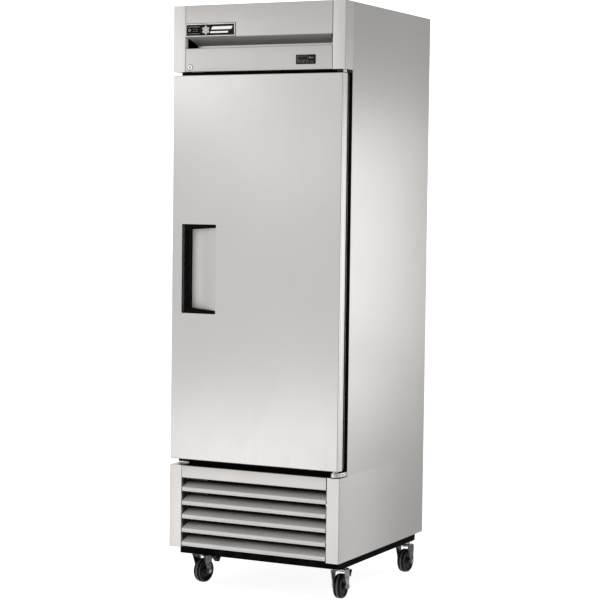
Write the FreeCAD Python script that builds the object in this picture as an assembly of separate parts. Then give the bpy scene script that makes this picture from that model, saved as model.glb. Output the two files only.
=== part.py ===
import FreeCAD, Part
import math
import os

# One-section upright commercial refrigerator on casters, full-height solid door.
# Row frame: millimetres, +Z up, floor at z = 0, X centred, front towards -Y.
V = FreeCAD.Vector

# ---------------------------------------------------------------- driving dimensions
W2 = 343.0            # half width of the cabinet (686 wide, 27 in class)
Y_FRONT = -371.0      # front plane of header and lower section
Y_FACE = -308.0       # cabinet face behind the door
Y_BACK = 379.0        # outside of the back panel
Z_TOP = 2115.0        # top of the cabinet
Z_LOW = 153.0         # bottom edge of the outer sheets
Z_SEC = 454.0         # top of the lower (grille) section
Z_HDR = 1878.0        # bottom of the header
T = 1.0               # sheet thickness
POST = 49.5           # width of header end caps and front posts
COVE_TOP, COVE_BACK_Y, COVE_LOW = 2001.0, -311.0, 1969.0
LOWER_TOP = 1962.0    # top edge of the lower header panel

DX = 337.0            # door half width
DY0, DY1 = -378.0, -336.0   # door skin, front face and rear end of its returns
DZ0, DZ1 = 478.0, 1865.5    # door bottom and top
FRAME_Y = -322.0      # rear of the door's plastic edge frame
LINER_Y = -321.0      # rear of the door's inner liner
GASKET_Y = -309.0     # rear of the gasket, 1 mm off the face
PIN_X, PIN_Y = 321.0, -363.0
PIN_R, BUSH_BORE, BUSH_R = 5.0, 5.05, 12.0

HX0, HXB, HX1 = -296.5, -272.0, -156.0   # handle: left edge, inner edge of bar, right end
HZ0, HZ1 = 1010.0, 1332.0
H_DEEP = -343.0       # back of the grip bar

CAV_X, CAV_Y0, CAV_Y1 = 291.0, -257.0, 326.0    # foam cavity
CAV_Z0, CAV_Z1, LINTEL = 508.0, 2060.0, 1830.0

LOUVER_PITCH, LOUVER_N, LOUVER_Z0 = 50.2, 5, Z_LOW + 5.0
LOUVER_LIP, LOUVER_DEEP, LOUVER_RISE = 18.0, 55.0, 19.0

RAIL_Z0, RAIL_T = 122.0, 3.0
WHEEL_R, WHEEL_W, TRAIL = 44.5, 32.0, 10.0
AXLE_R, WHEEL_BORE = 5.0, 5.06
KING_R, KING_BORE = 6.0, 6.06
CASTERS = {           # swivel axis x, y and the way the caster has turned
    "front_left": (-282.9, -232.3, -10.0),
    "front_right": (284.4, -232.1, 5.0),
    "rear_left": (-300.4, 317.5, 14.0),
    "rear_right": (296.9, 318.0, -3.0),
}

SHELF_Z = (830.0, 1150.0, 1470.0)
LOCK_X, LOCK_Z = -273.0, 1894.0
FAN_E = (0.0, -110.0)
FAN_C = (0.0, 290.0)


# ---------------------------------------------------------------- helpers
def box(x0, x1, y0, y1, z0, z1):
    return Part.makeBox(x1 - x0, y1 - y0, z1 - z0, V(x0, y0, z0))


def cyl(x, y, z, r, h, ax=(0, 0, 1)):
    return Part.makeCylinder(r, h, V(x, y, z), V(*ax))


def poly(points):
    return Part.Face(Part.makePolygon([V(*p) for p in points] + [V(*points[0])]))


def prism_x(pts, x0, x1):
    return poly([(x0, y, z) for y, z in pts]).extrude(V(x1 - x0, 0, 0))


def prism_y(pts, y0, y1):
    return poly([(x, y0, z) for x, z in pts]).extrude(V(0, y1 - y0, 0))


def prism_z(pts, z0, z1):
    return poly([(x, y, z0) for x, y in pts]).extrude(V(0, 0, z1 - z0))


def strip(pts, t):
    """Closed outline of a bent sheet: the polyline and its copy offset by t to the left."""
    out = []
    n = len(pts)
    for i in range(n):
        dirs = []
        if i > 0:
            dirs.append((pts[i][0] - pts[i - 1][0], pts[i][1] - pts[i - 1][1]))
        if i < n - 1:
            dirs.append((pts[i + 1][0] - pts[i][0], pts[i + 1][1] - pts[i][1]))
        ns = []
        for a, b in dirs:
            L = math.hypot(a, b)
            ns.append((-b / L, a / L))
        mx, my = sum(q[0] for q in ns), sum(q[1] for q in ns)
        L = math.hypot(mx, my)
        mx, my = mx / L, my / L
        k = t / (mx * ns[0][0] + my * ns[0][1])
        out.append((pts[i][0] + mx * k, pts[i][1] + my * k))
    return list(pts) + out[::-1]


def fuse(*shapes):
    s = shapes[0]
    for o in shapes[1:]:
        s = s.fuse(o)
    return s.removeSplitter()


def tube(points, r, bend):
    """Round bar along straight runs joined by tangent arcs of radius bend."""
    P = [V(*p) for p in points]
    edges, last = [], P[0]
    for i in range(1, len(P) - 1):
        a = (P[i - 1] - P[i]).normalize()
        b = (P[i + 1] - P[i]).normalize()
        ang = a.getAngle(b)
        d = bend / math.tan(ang / 2)
        p0, p1 = P[i] + a * d, P[i] + b * d
        m = (a + b).normalize()
        mid = P[i] + m * (bend / math.sin(ang / 2) - bend)
        edges.append(Part.LineSegment(last, p0).toShape())
        edges.append(Part.Arc(p0, mid, p1).toShape())
        last = p1
    edges.append(Part.LineSegment(last, P[-1]).toShape())
    wire = Part.Wire(edges)
    d = (P[1] - P[0]).normalize()
    prof = Part.Wire([Part.Circle(P[0], d, r).toShape()])
    return wire.makePipeShell([prof], True, False)


def mirror_x(s):
    return s.mirror(V(0, 0, 0), V(1, 0, 0))


nodes = {}

# ---------------------------------------------------------------- cabinet shell
side = fuse(
    prism_x([(Y_FRONT, Z_LOW), (Y_BACK - T, Z_LOW), (Y_BACK - T, Z_TOP - T), (Y_FACE, Z_TOP - T), (Y_FACE, Z_SEC), (Y_FRONT, Z_SEC)], -W2, -W2 + T),
    box(-W2 + T, -300, Y_FRONT + T, Y_BACK - T, Z_LOW, Z_LOW + T),
)
nodes["left_side_panel"] = [side]
nodes["right_side_panel"] = [mirror_x(side)]
nodes["top_panel"] = [box(-W2, W2, Y_FACE, Y_BACK, Z_TOP - T, Z_TOP)]

back = box(-W2, W2, Y_BACK - T, Y_BACK, Z_LOW, Z_TOP - T)
for col in (-210, -70, 70, 210):
    for k in range(9):
        z = 190 + k * 24
        if col == 210 and 285 < z < 345:
            continue
        back = back.cut(box(col - 50, col + 50, Y_BACK - 2, Y_BACK + 1, z, z + 9))
back = back.cut(box(239.5, 290.5, Y_BACK - 2, Y_BACK + 1, 299.5, 330.5))
nodes["back_panel"] = [back]

foam = box(-W2 + T, W2 - T, Y_FACE + T, Y_BACK - T, Z_SEC, Z_TOP - T)
cavity = fuse(
    box(-CAV_X, CAV_X, CAV_Y0, CAV_Y1, CAV_Z0, CAV_Z1),
    box(-CAV_X, CAV_X, Y_FACE + T, CAV_Y0, CAV_Z0, LINTEL),
)
foam = foam.cut(cavity)
nodes["cabinet_insulation"] = [foam]

liner = cavity.cut(
    fuse(
        box(-CAV_X + T, CAV_X - T, CAV_Y0 + T, CAV_Y1 - T, CAV_Z0 - 1, CAV_Z1 - T),
        box(-CAV_X + T, CAV_X - T, Y_FACE - 1, CAV_Y0 + T, CAV_Z0 - 1, LINTEL - T),
    )
)
liner = liner.cut(box(-W2, W2, Y_FACE, Y_BACK, CAV_Z0 - 1, CAV_Z0 + T))
liner_floor = box(-CAV_X, CAV_X, Y_FACE + T, CAV_Y1, CAV_Z0, CAV_Z0 + T)
nodes["inner_liner"] = [liner, liner_floor]

nodes["face_frame"] = [
    box(-W2 + T, W2 - T, Y_FACE, Y_FACE + T, Z_SEC, Z_TOP - T).cut(
        box(-CAV_X + T, CAV_X - T, Y_FACE - 1, Y_FACE + 2, CAV_Z0 + T, LINTEL - T)
    )
]
nodes["cabinet_bottom_panel"] = [box(-W2 + T, W2 - T, Y_FACE, Y_BACK - T, Z_SEC - T, Z_SEC)]


# ---------------------------------------------------------------- base frame and deck
def channel(x0, x1, y0, y1):
    return box(x0, x1, y0, y1, RAIL_Z0, Z_LOW).cut(
        box(x0 + RAIL_T, x1 - RAIL_T, y0 + RAIL_T, y1 - RAIL_T, RAIL_Z0 + RAIL_T, Z_LOW + 1)
    )


bolt_xy = []
for name, (cx, cy, turn) in CASTERS.items():
    for dx in (-14.5, 14.5):
        for dy in (-24.5, 24.5):
            bolt_xy.append((cx + dx, cy + dy))
left_rail = channel(-325, -245, -320, 352)
right_rail = channel(245, 325, -320, 352)
for bx, by in bolt_xy:
    hole = cyl(bx, by, RAIL_Z0 - 1, 4.3, 6)
    if bx < 0:
        left_rail = left_rail.cut(hole)
    else:
        right_rail = right_rail.cut(hole)
deck = box(-341, 341, -310, 377, Z_LOW + T, Z_LOW + 3)
nodes["base_frame"] = [left_rail, right_rail, channel(-245, 245, -320, -260), channel(-245, 245, 289, 349), deck]

# ---------------------------------------------------------------- lower front
post = box(-W2 + T, -W2 + POST, Y_FRONT, Y_FRONT + T, Z_LOW, Z_SEC)
post = fuse(
    post,
    box(-W2 + POST - T, -W2 + POST, Y_FRONT + T, -311, Z_LOW, Z_SEC),
    box(-W2 + T, -W2 + POST - T, Y_FRONT + T, Y_FACE, Z_SEC - T, Z_SEC),
)
nodes["front_posts"] = [post, mirror_x(post)]

BX = W2 - POST - 0.5   # half width between the posts, with a fine seam
nodes["grille_top_band"] = [
    prism_x(strip([(-358, 409), (Y_FRONT, 409), (Y_FRONT, Z_SEC), (-362, Z_SEC)], -T), -BX, BX)
]


def louver(zb):
    """Blade: hemmed rounded front lip, then a tread that rises to the rear."""
    pts = [(-366.5, zb + 0.8), (-369.2, zb + 0.8), (-370.5, zb + 2.0), (-371.0, zb + 4.0)]
    zc, r = zb + LOUVER_LIP - 6.0, 6.0
    slope = math.atan2(LOUVER_RISE, LOUVER_DEEP)
    a0, a1 = math.pi, math.pi / 2 + slope
    for k in range(7):
        a = a0 + (a1 - a0) * k / 6
        pts.append((-371.0 + r + r * math.cos(a), zc + r * math.sin(a)))
    x, z = pts[-1]
    pts.append((x + LOUVER_DEEP * math.cos(slope), z + LOUVER_DEEP * math.sin(slope)))
    return prism_x(strip(pts, -1.2), -BX + 2.0, BX - 2.0)


nodes["grille_louvers"] = [louver(LOUVER_Z0 + k * LOUVER_PITCH) for k in range(LOUVER_N)]

bracket = box(-BX, -BX + 2, -357, -311, Z_LOW + 3, Z_SEC - 4)
nodes["grille_frame"] = [bracket, mirror_x(bracket), box(-BX, BX, -369, Y_FACE, Z_SEC - 4, Z_SEC - 2)]

# ---------------------------------------------------------------- header
cap = box(-W2, -W2 + POST, Y_FRONT, Y_FACE, Z_HDR, Z_TOP).cut(
    box(-W2 + T, -W2 + POST - T, Y_FRONT + T, Y_FACE + 1, Z_HDR + T, Z_TOP - T)
)
nodes["header_end_caps"] = [cap, mirror_x(cap)]

upper = prism_x(
    strip([(Y_FACE - 0.5, Z_TOP), (Y_FRONT, Z_TOP), (Y_FRONT, COVE_TOP), (COVE_BACK_Y, COVE_LOW), (COVE_BACK_Y, LOWER_TOP + 1)], T),
    -BX, BX,
)
# the cove's ends are cut back in a shallow curve
n_arc = 10
cut_pts = [(-BX - 2, -369.5)]
for k in range(n_arc + 1):
    f = k / n_arc
    cut_pts.append((-BX + 19 * math.sin(f * math.pi / 2), -369.5 + 61.5 * (1 - math.cos(f * math.pi / 2))))
cut_pts += [(-BX + 19, -300), (-BX - 2, -300)]
end_cut = prism_z(cut_pts, LOWER_TOP - 2, COVE_TOP - 0.6)
upper = upper.cut(end_cut).cut(mirror_x(end_cut))
upper = upper.cut(box(-286, -236, -373, -368, 2014, 2038))
nodes["header_upper_panel"] = [upper]

lower = prism_x(strip([(COVE_BACK_Y, LOWER_TOP), (Y_FRONT, LOWER_TOP), (Y_FRONT, Z_HDR), (Y_FACE - 0.5, Z_HDR)], T), -BX, BX)
lower = lower.cut(cyl(LOCK_X, -374, LOCK_Z, 8.6, 8, (0, 1, 0)))
lower = lower.cut(box(155.5, 226.5, -373, -368, 1899, 1928))
lower = lower.cut(box(-283, -233, -354, -343, Z_HDR - 1, Z_HDR + 2))
nodes["header_lower_panel"] = [lower]

plate = box(-292, -90, -374, -371, 2003, 2049).cut(box(-287, -235, -375, -370, 2013, 2039))
nodes["nameplate"] = [plate]
nodes["rocker_switch"] = [
    prism_z([(-283.5, -377.2), (-261, -374.6), (-238.5, -374.0), (-238.5, -366), (-283.5, -366)], 2015, 2037)
]
nodes["display_housing"] = [
    fuse(box(153, 229, -373, -371, 1897, 1930), box(156, 226, -371, -335, 1899.5, 1927.5))
]
nodes["display_lens"] = [box(156, 226, -373.8, -373, 1900, 1927)]

barrel = fuse(cyl(LOCK_X, -372.6, LOCK_Z, 10.5, 1.6, (0, 1, 0)), cyl(LOCK_X, -371, LOCK_Z, 8.5, 18, (0, 1, 0)))
barrel = barrel.cut(cyl(LOCK_X, -374, LOCK_Z, 6.06, 30, (0, 1, 0)))
nodes["lock_barrel"] = [barrel]
plug = cyl(LOCK_X, -373, LOCK_Z, 6.0, 22.5, (0, 1, 0)).cut(box(LOCK_X - 1, LOCK_X + 1, -374, -369, LOCK_Z - 3.6, LOCK_Z + 3.6))
plug = fuse(plug, box(LOCK_X - 6, LOCK_X + 38, -350.5, -347.5, LOCK_Z - 6, LOCK_Z + 6))
nodes["lock_plug"] = [plug]

# ---------------------------------------------------------------- hinges
low_plan = prism_z([(300, Y_FACE), (W2, Y_FACE), (W2, -336), (336.5, PIN_Y), (305.5, PIN_Y), (300, -332)], Z_SEC, 475)
low = fuse(
    low_plan,
    cyl(PIN_X, PIN_Y, Z_SEC, 15.5, 475 - Z_SEC),
    cyl(PIN_X, PIN_Y, 475, 9, 2.9),
    cyl(PIN_X, PIN_Y, 475, PIN_R, 27),
)
top_plan = prism_z([(312, Y_FACE), (W2, Y_FACE), (W2, -336), (332.5, PIN_Y), (309.5, PIN_Y)], 1868.5, Z_HDR)
top = fuse(
    top_plan,
    cyl(PIN_X, PIN_Y, 1868.5, 11.5, Z_HDR - 1868.5),
    cyl(PIN_X, PIN_Y, DZ1 + 0.1, 9, 1868.5 - DZ1 - 0.1),
    cyl(PIN_X, PIN_Y, 1841, PIN_R, 1868.5 - 1841),
)
spare = box(-W2 + T, -297, -313, Y_FACE, Z_SEC, 460)
nodes["hinge_brackets"] = [low, top, spare]

# ---------------------------------------------------------------- door
bush_lo = cyl(PIN_X, PIN_Y, DZ0, BUSH_R, 30).cut(cyl(PIN_X, PIN_Y, DZ0 - 1, BUSH_BORE, 28))
bush_hi = cyl(PIN_X, PIN_Y, DZ1 - 30, BUSH_R, 30).cut(cyl(PIN_X, PIN_Y, DZ1 - 27, BUSH_BORE, 28))
nodes["hinge_bushes"] = [bush_lo, bush_hi]
bush_space = fuse(cyl(PIN_X, PIN_Y, DZ0 - 1, BUSH_R, 31)), fuse(cyl(PIN_X, PIN_Y, DZ1 - 30, BUSH_R, 31))
keeper = box(-283, -240, -354, -343, 1850, DZ1 + 1)

skin = box(-DX, DX, DY0, DY1, DZ0, DZ1).cut(box(-DX + T, DX - T, DY0 + T, DY1 + 1, DZ0 + T, DZ1 - T))
skin = skin.cut(box(HX0, HX1, DY0 - 1, DY0 + 2, HZ0, HZ1))
for s in (bush_space[0], bush_space[1], keeper):
    skin = skin.cut(s)
nodes["door_outer_skin"] = [skin]

recess = prism_z([(HX0, DY0 - 2), (HX1, DY0 - 2), (HX1, -375.5), (HXB, H_DEEP + 1), (HX0, H_DEEP + 1)], HZ0, HZ1)
core = fuse(
    box(-DX + T, DX - T, DY0 + T, DY1, DZ0 + T, DZ1 - T),
    box(-296, 296, DY1, FRAME_Y, DZ0 + 41, DZ1 - 41),
)
for s in (recess, bush_space[0], bush_space[1], keeper):
    core = core.cut(s)
nodes["door_insulation"] = [core]
nodes["door_edge_frame"] = [
    box(-DX + T, DX - T, DY1, FRAME_Y, DZ0 + T, DZ1 - T).cut(box(-296, 296, DY1 - 1, FRAME_Y + 1, DZ0 + 41, DZ1 - 41))
]
nodes["door_inner_liner"] = [box(-DX + 2, DX - 2, FRAME_Y, LINER_Y, DZ0 + 2, DZ1 - 2)]
nodes["door_gasket"] = [
    box(-318, 318, LINER_Y, GASKET_Y, 488, 1854).cut(box(-298, 298, LINER_Y - 1, GASKET_Y + 1, 508, 1834))
]

bar = box(HX0, HXB, -379, H_DEEP, HZ0, HZ1)
wedge = prism_z([(HXB, -379), (HX1, -379), (HX1, -376.5), (HXB, H_DEEP)], HZ0, HZ1)
arm_lo = prism_y([(HXB, HZ0), (HX1, HZ0), (HX1, HZ0 + 12), (HXB, HZ0 + 19)], -380, -340).common(wedge)
arm_hi = prism_y([(HXB, HZ1), (HX1, HZ1), (HX1, HZ1 - 12), (HXB, HZ1 - 19)], -380, -340).common(wedge)
nodes["handle_grip"] = [fuse(bar, arm_lo, arm_hi)]
nodes["handle_pocket"] = [
    prism_z([(HX0, H_DEEP), (HXB, H_DEEP), (HX1, -376.5), (HX1, -375.5), (HXB, H_DEEP + 1), (HX0, H_DEEP + 1)], HZ0, HZ1)
]

# ---------------------------------------------------------------- interior fittings
pil, clips = [], []
for sx in (-1, 1):
    for yc in (-188, 268):
        x_wall = CAV_X - T
        p = box(x_wall - 4, x_wall, yc - 12.5, yc + 12.5, 560, 1780).cut(
            box(x_wall - 2.8, x_wall + 1, yc - 11.3, yc + 11.3, 559, 1781)
        )
        for k in range(24):
            p = p.cut(box(x_wall - 5, x_wall - 2, yc - 1.6, yc + 1.6, 590 + k * 50, 602 + k * 50))
        pil.append(p if sx > 0 else mirror_x(p))
        for zs in SHELF_Z:
            c = fuse(
                box(x_wall - 19, x_wall - 4, yc - 7, yc + 7, zs - 5, zs),
                box(x_wall - 6, x_wall - 4, yc - 7, yc + 7, zs - 16, zs),
            )
            clips.append(c if sx > 0 else mirror_x(c))
nodes["shelf_pilasters"] = pil
nodes["shelf_clips"] = clips

shelves = []
SX, SY0, SY1 = 282.0, -215.0, 297.0
for zs in SHELF_Z:
    rim = box(-SX, SX, SY0, SY1, zs, zs + 7).cut(box(-SX + 7, SX - 7, SY0 + 7, SY1 - 7, zs - 1, zs + 8))
    wires = []
    n = 20
    for k in range(1, n):
        x = -SX + 2 * SX * k / n
        wires.append(box(x - 1.6, x + 1.6, SY0 + 6, SY1 - 6, zs + 3.8, zs + 7))
    for y in (-60, 45, 150):
        wires.append(box(-SX + 6, SX - 6, y - 2.5, y + 2.5, zs, zs + 4.5))
    shelves.append(rim.multiFuse(wires).removeSplitter())
nodes["wire_shelves"] = shelves


# ---------------------------------------------------------------- evaporator section
def fin_block(x0, x1, y0, y1, z0, z1, pitch, gap):
    b = box(x0, x1, y0, y1, z0, z1)
    cuts = []
    x = x0 + pitch
    while x + gap < x1 - pitch / 2:
        cuts.append(box(x, x + gap, y0 - 1, y0 + (y1 - y0) * 0.35, z0 + 6, z1 - 6))
        cuts.append(box(x, x + gap, y1 - (y1 - y0) * 0.35, y1 + 1, z0 + 6, z1 - 6))
        x += pitch
    return b.cut(Part.makeCompound(cuts))


cover = box(-262, 262, -230, 250, 1850, 2050).cut(box(-260.5, 260.5, -228.5, 251, 1851.5, 2051))
cover = cover.cut(cyl(FAN_E[0], FAN_E[1], 1849, 92, 4))
for k in range(5):
    cover = cover.cut(box(-200, 200, 40 + k * 36, 52 + k * 36, 1849, 1853))
nodes["evaporator_cover"] = [cover]
nodes["evaporator_coil"] = [fin_block(-200, 200, 30, 210, 1872, 2030, 16, 9)]

fx, fy = FAN_E
nodes["evaporator_fan_motor"] = [
    fuse(
        cyl(fx, fy, 1885, 32, 60),
        cyl(fx, fy, 1860, 4, 25),
        box(fx - 112, fx + 112, fy - 9, fy + 9, 1945, 1949),
        box(fx - 112, fx - 108, fy - 9, fy + 9, 1851.5, 1945),
        box(fx + 108, fx + 112, fy - 9, fy + 9, 1851.5, 1945),
    )
]


def fan(r_in, r_out, width, thick, tilt, n):
    blades = []
    for k in range(n):
        b = Part.makeBox(r_out - r_in + 4, width, thick, V(r_in - 4, -width / 2, -thick / 2))
        b = b.common(cyl(0, 0, -40, r_out, 80))
        b.rotate(V(0, 0, 0), V(1, 0, 0), tilt)
        b.rotate(V(0, 0, 0), V(0, 0, 1), 360 * k / n)
        blades.append(b)
    hub = cyl(0, 0, -8, r_in, 16)
    s = hub.multiFuse(blades).removeSplitter()
    return s.cut(cyl(0, 0, -20, 4.05, 40))


e_fan = fan(15, 84, 40, 2, 22, 4)
e_fan.translate(V(fx, fy, 1872))
nodes["evaporator_fan_blade"] = [e_fan]
nodes["interior_lamp"] = [box(-95, 95, -256, -236, 1836, 1860)]

# ---------------------------------------------------------------- condensing unit
D0 = Z_LOW + 3   # top of the deck
dome = cyl(-140, 120, 188, 82, 150)
dome = dome.makeFillet(34, [e for e in dome.Edges if isinstance(e.Curve, Part.Circle) and e.Curve.Center.z > 300])
comp = fuse(
    dome,
    box(-235, -45, 40, 200, 180, 188),
    cyl(-190, 30, 232, 6, 60, (0, 1, 0)),
    cyl(-140, 190, 232, 7, 35, (0, 1, 0)),
    box(-82, -34, 100, 140, 210, 262),
)
for gx in (-222, -58):
    for gy in (54, 186):
        comp = comp.fuse(cyl(gx, gy, D0, 11, 180 - D0))
nodes["compressor"] = [comp.removeSplitter()]

cond = fin_block(-230, 230, -290, -245, D0, 410, 12, 7)
nodes["condenser_coil"] = [cond]
cz = FAN_C[1]
shroud = fuse(
    box(-230, 230, -245, -243, D0, 410),
    cyl(0, -243, cz, 106, 30, (0, 1, 0)),
).cut(cyl(0, -246, cz, 103, 40, (0, 1, 0)))
shroud = shroud.cut(cyl(-190, -247, 232, 5, 8, (0, 1, 0))).cut(cyl(200, -247, 350, 5, 8, (0, 1, 0)))
nodes["condenser_shroud"] = [shroud]
c_motor = fuse(
    cyl(0, -200, cz, 36, 56, (0, 1, 0)),
    cyl(0, -236, cz, 4, 36, (0, 1, 0)),
    box(-14, 14, -160, -146, D0, cz),
    box(-45, 45, -172, -134, D0, D0 + 4),
)
nodes["condenser_fan_motor"] = [c_motor]
c_fan = fan(15, 98, 42, 2, 24, 5)
c_fan.rotate(V(0, 0, 0), V(1, 0, 0), -90)
c_fan.translate(V(0, -224, cz))
nodes["condenser_fan_blade"] = [c_fan]

nodes["refrigerant_tubes"] = [
    cyl(-190, -245, 232, 4, 275, (0, 1, 0)),
    tube([(-140, 225, 232), (-140, 330, 232), (-140, 330, Z_SEC - T)], 5, 30),
    tube([(200, -245, 350), (200, 320, 350), (200, 320, Z_SEC - T)], 4, 26),
]
pan = box(40, 300, 150, 350, D0, D0 + 50).cut(box(41.5, 298.5, 151.5, 348.5, D0 + 1.5, D0 + 51))
nodes["condensate_pan"] = [pan]
nodes["electrical_box"] = [
    box(150, 300, -130, 30, D0, 286),
    fuse(box(240, 290, Y_BACK - 14, Y_BACK, 300, 330), box(236, 294, Y_BACK - 3, Y_BACK - 1, 296, 334)).cut(
        fuse(
            box(252, 278, Y_BACK - 10, Y_BACK + 1, 306, 324),
        )
    ),
]

# ---------------------------------------------------------------- casters
plates, bolts = [], []
KING_Z0 = 100.0


def place(s, cx, cy, turn):
    s = s.copy()
    s.rotate(V(0, 0, 0), V(0, 0, 1), turn)
    s.translate(V(cx, cy, 0))
    return s


fork_plan = [(-24, 109), (-24, 103), (-15, 84), (-1.5, 47), (-1.8, 41), (1.5, 36), (6.5, 33), (11, 32.3), (16, 33.6), (20, 37.4), (22, 44.5), (22, 64), (24, 88), (24.5, 103), (24.5, 109)]
leg_r = prism_x(fork_plan, 25, 28)
leg_l = prism_x(fork_plan, -28, -25)
crown = box(-28, 28, -24, 24.5, 105, 109)
fork = fuse(crown, leg_r, leg_l)
fork = fork.cut(cyl(0, 0, 100, KING_BORE, 20)).cut(cyl(-35, TRAIL, WHEEL_R, AXLE_R + 0.05, 70, (1, 0, 0)))
axle = fuse(
    cyl(-30, TRAIL, WHEEL_R, AXLE_R, 60, (1, 0, 0)),
    cyl(-32.5, TRAIL, WHEEL_R, 8, 4.4, (1, 0, 0)),
    cyl(28.1, TRAIL, WHEEL_R, 8, 4.4, (1, 0, 0)),
    cyl(-24.8, TRAIL, WHEEL_R, 9.5, 6.6, (1, 0, 0)),
    cyl(18.2, TRAIL, WHEEL_R, 9.5, 6.6, (1, 0, 0)),
)

# wheel: rounded tread, recessed web, hub
h = WHEEL_W / 2
prof = [(WHEEL_BORE, -17.5), (13, -17.5), (14.5, -11), (30, -10), (32, -h + 1.5), (36, -h), (40.5, -h + 1.6), (43.4, -h + 5.5), (WHEEL_R, -h + 11),
        (WHEEL_R, h - 11), (43.4, h - 5.5), (40.5, h - 1.6), (36, h), (32, h - 1.5), (30, 10), (14.5, 11), (13, 17.5), (WHEEL_BORE, 17.5)]
w = poly([(x, 0, r) for r, x in prof]).revolve(V(0, 0, 0), V(1, 0, 0), 360)
w.translate(V(0, TRAIL, WHEEL_R))

# brake pedal: pivots on the fork, rises past the back of the wheel
PED_Y, PED_Z = 18.0, 97.0
ped = prism_x([(13, 94), (19, 95), (62, 86.5), (86, 64), (90, 65), (104, 86), (99.5, 89), (86, 72), (66, 91), (20, 100.5), (13, 100.5)], -9, 9)
ped = ped.fuse(cyl(-27.8, PED_Y, PED_Z, 3.4, 55.6, (1, 0, 0))).removeSplitter()

for name, (cx, cy, turn) in CASTERS.items():
    plates.append(
        fuse(
            box(cx - 25, cx + 25, cy - 31, cy + 31, RAIL_Z0 - 3, RAIL_Z0),
            cyl(cx, cy, 109.6, 21.5, RAIL_Z0 - 3 - 109.6),
            cyl(cx, cy, KING_Z0, KING_R, 15),
            cyl(cx, cy, KING_Z0 - 1, 10, 5.4),
        )
    )
    for dx in (-14.5, 14.5):
        for dy in (-24.5, 24.5):
            plates[-1] = plates[-1].cut(cyl(cx + dx, cy + dy, RAIL_Z0 - 5, 4.3, 6))
            bolts.append(
                fuse(
                    cyl(cx + dx, cy + dy, RAIL_Z0 - 7, 6.4, 4),
                    cyl(cx + dx, cy + dy, RAIL_Z0 - 4, 4, 14),
                    cyl(cx + dx, cy + dy, RAIL_Z0 + RAIL_T, 6.4, 5),
                )
            )
    f = fork
    if name.startswith("front"):
        f = fork.cut(cyl(-35, PED_Y, PED_Z, 3.46, 70, (1, 0, 0)))
        nodes["brake_pedal_" + name] = [place(ped, cx, cy, turn)]
    nodes["caster_fork_" + name] = [place(f, cx, cy, turn), place(axle, cx, cy, turn)]
    nodes["caster_wheel_" + name] = [place(w, cx, cy, turn)]
nodes["caster_plates"] = plates
nodes["caster_bolts"] = bolts

# ---------------------------------------------------------------- small screws
screws = []
for k in range(LOUVER_N):
    z = Z_LOW + k * LOUVER_PITCH + 44.0
    s = cyl(-BX + 2, -330, z, 3.6, 2.2, (1, 0, 0))
    screws += [s, mirror_x(s)]
for sx in (-1, 1):
    for yc in (-188, 268):
        for z in (574, 1766):
            s = cyl(CAV_X - T - 4 - 1.8, yc, z, 4, 1.8, (1, 0, 0))
            screws.append(s if sx > 0 else mirror_x(s))
nodes["panel_screws"] = screws

# ---------------------------------------------------------------- write the parts
os.makedirs("parts", exist_ok=True)
for name, solids in nodes.items():
    flat = []
    for s in solids:
        flat += s.Solids
    for s in flat:
        if not s.isValid() or s.Volume <= 0:
            print("BAD SOLID", name, s.Volume)
    shape = flat[0] if len(flat) == 1 else Part.makeCompound(flat)
    shape.exportStep("parts/" + name + ".step")
print(len(nodes), "nodes,", sum(len(Part.makeCompound(s).Solids) for s in nodes.values()), "solids")
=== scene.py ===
import bpy
import bmesh
import math
from mathutils import Vector, Matrix


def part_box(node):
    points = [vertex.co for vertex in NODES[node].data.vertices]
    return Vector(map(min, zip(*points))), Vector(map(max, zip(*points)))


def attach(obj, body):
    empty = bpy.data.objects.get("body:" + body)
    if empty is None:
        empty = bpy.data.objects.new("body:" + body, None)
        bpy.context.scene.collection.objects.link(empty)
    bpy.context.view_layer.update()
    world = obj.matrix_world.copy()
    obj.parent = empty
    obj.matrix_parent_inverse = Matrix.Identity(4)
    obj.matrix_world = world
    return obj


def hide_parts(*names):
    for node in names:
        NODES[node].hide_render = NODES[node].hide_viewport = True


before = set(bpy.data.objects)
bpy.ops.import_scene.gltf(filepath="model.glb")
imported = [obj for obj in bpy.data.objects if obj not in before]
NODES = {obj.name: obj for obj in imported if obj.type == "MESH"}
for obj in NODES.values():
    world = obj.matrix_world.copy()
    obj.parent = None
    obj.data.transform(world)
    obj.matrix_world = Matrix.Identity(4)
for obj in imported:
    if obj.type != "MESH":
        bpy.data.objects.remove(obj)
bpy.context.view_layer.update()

MM = 0.001
scene = bpy.context.scene

# ------------------------------------------------------------------ studio settings
FLOOR_GLOW = 0.9
WORLD_BASE = 0.46
WORLD_LOBES = [          # direction, cosine range over which it comes up, strength
    ((-0.449, 0.894, 0.0), 0.91, 0.972, 0.80),
    ((-0.449, -0.894, 0.1), 0.1, 0.95, 0.335),
]
CARDS = [                # name, place, target, width, height, radiance
    ("card_right", (1.608, 1.204, 1.10), (0.343, -0.3, 1.1), 1.129, 1.355, 0.965),
    ("card_right_rear", (1.174, 1.011, 1.32), (0.343, -0.3, 1.6), 0.573, 1.021, 0.571),
    ("card_right_low", (0.795, 0.334, 0.244), (0.343, -0.3, 0.3), 0.312, 1.062, 0.419),
    ("card_front_low", (-0.80, -2.16, 0.0), (0.0, -0.37, 0.4), 2.0, 0.62, 0.85),
    ("card_front_left", (-1.267, -1.747, 2.128), (-0.34, -0.37, 1.75), 0.937, 0.352, 1.05),
    ("card_front_top", (-0.906, -2.686, 1.734), (0.2, -0.37, 1.8), 0.75, 0.242, 1.05),
]

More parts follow.
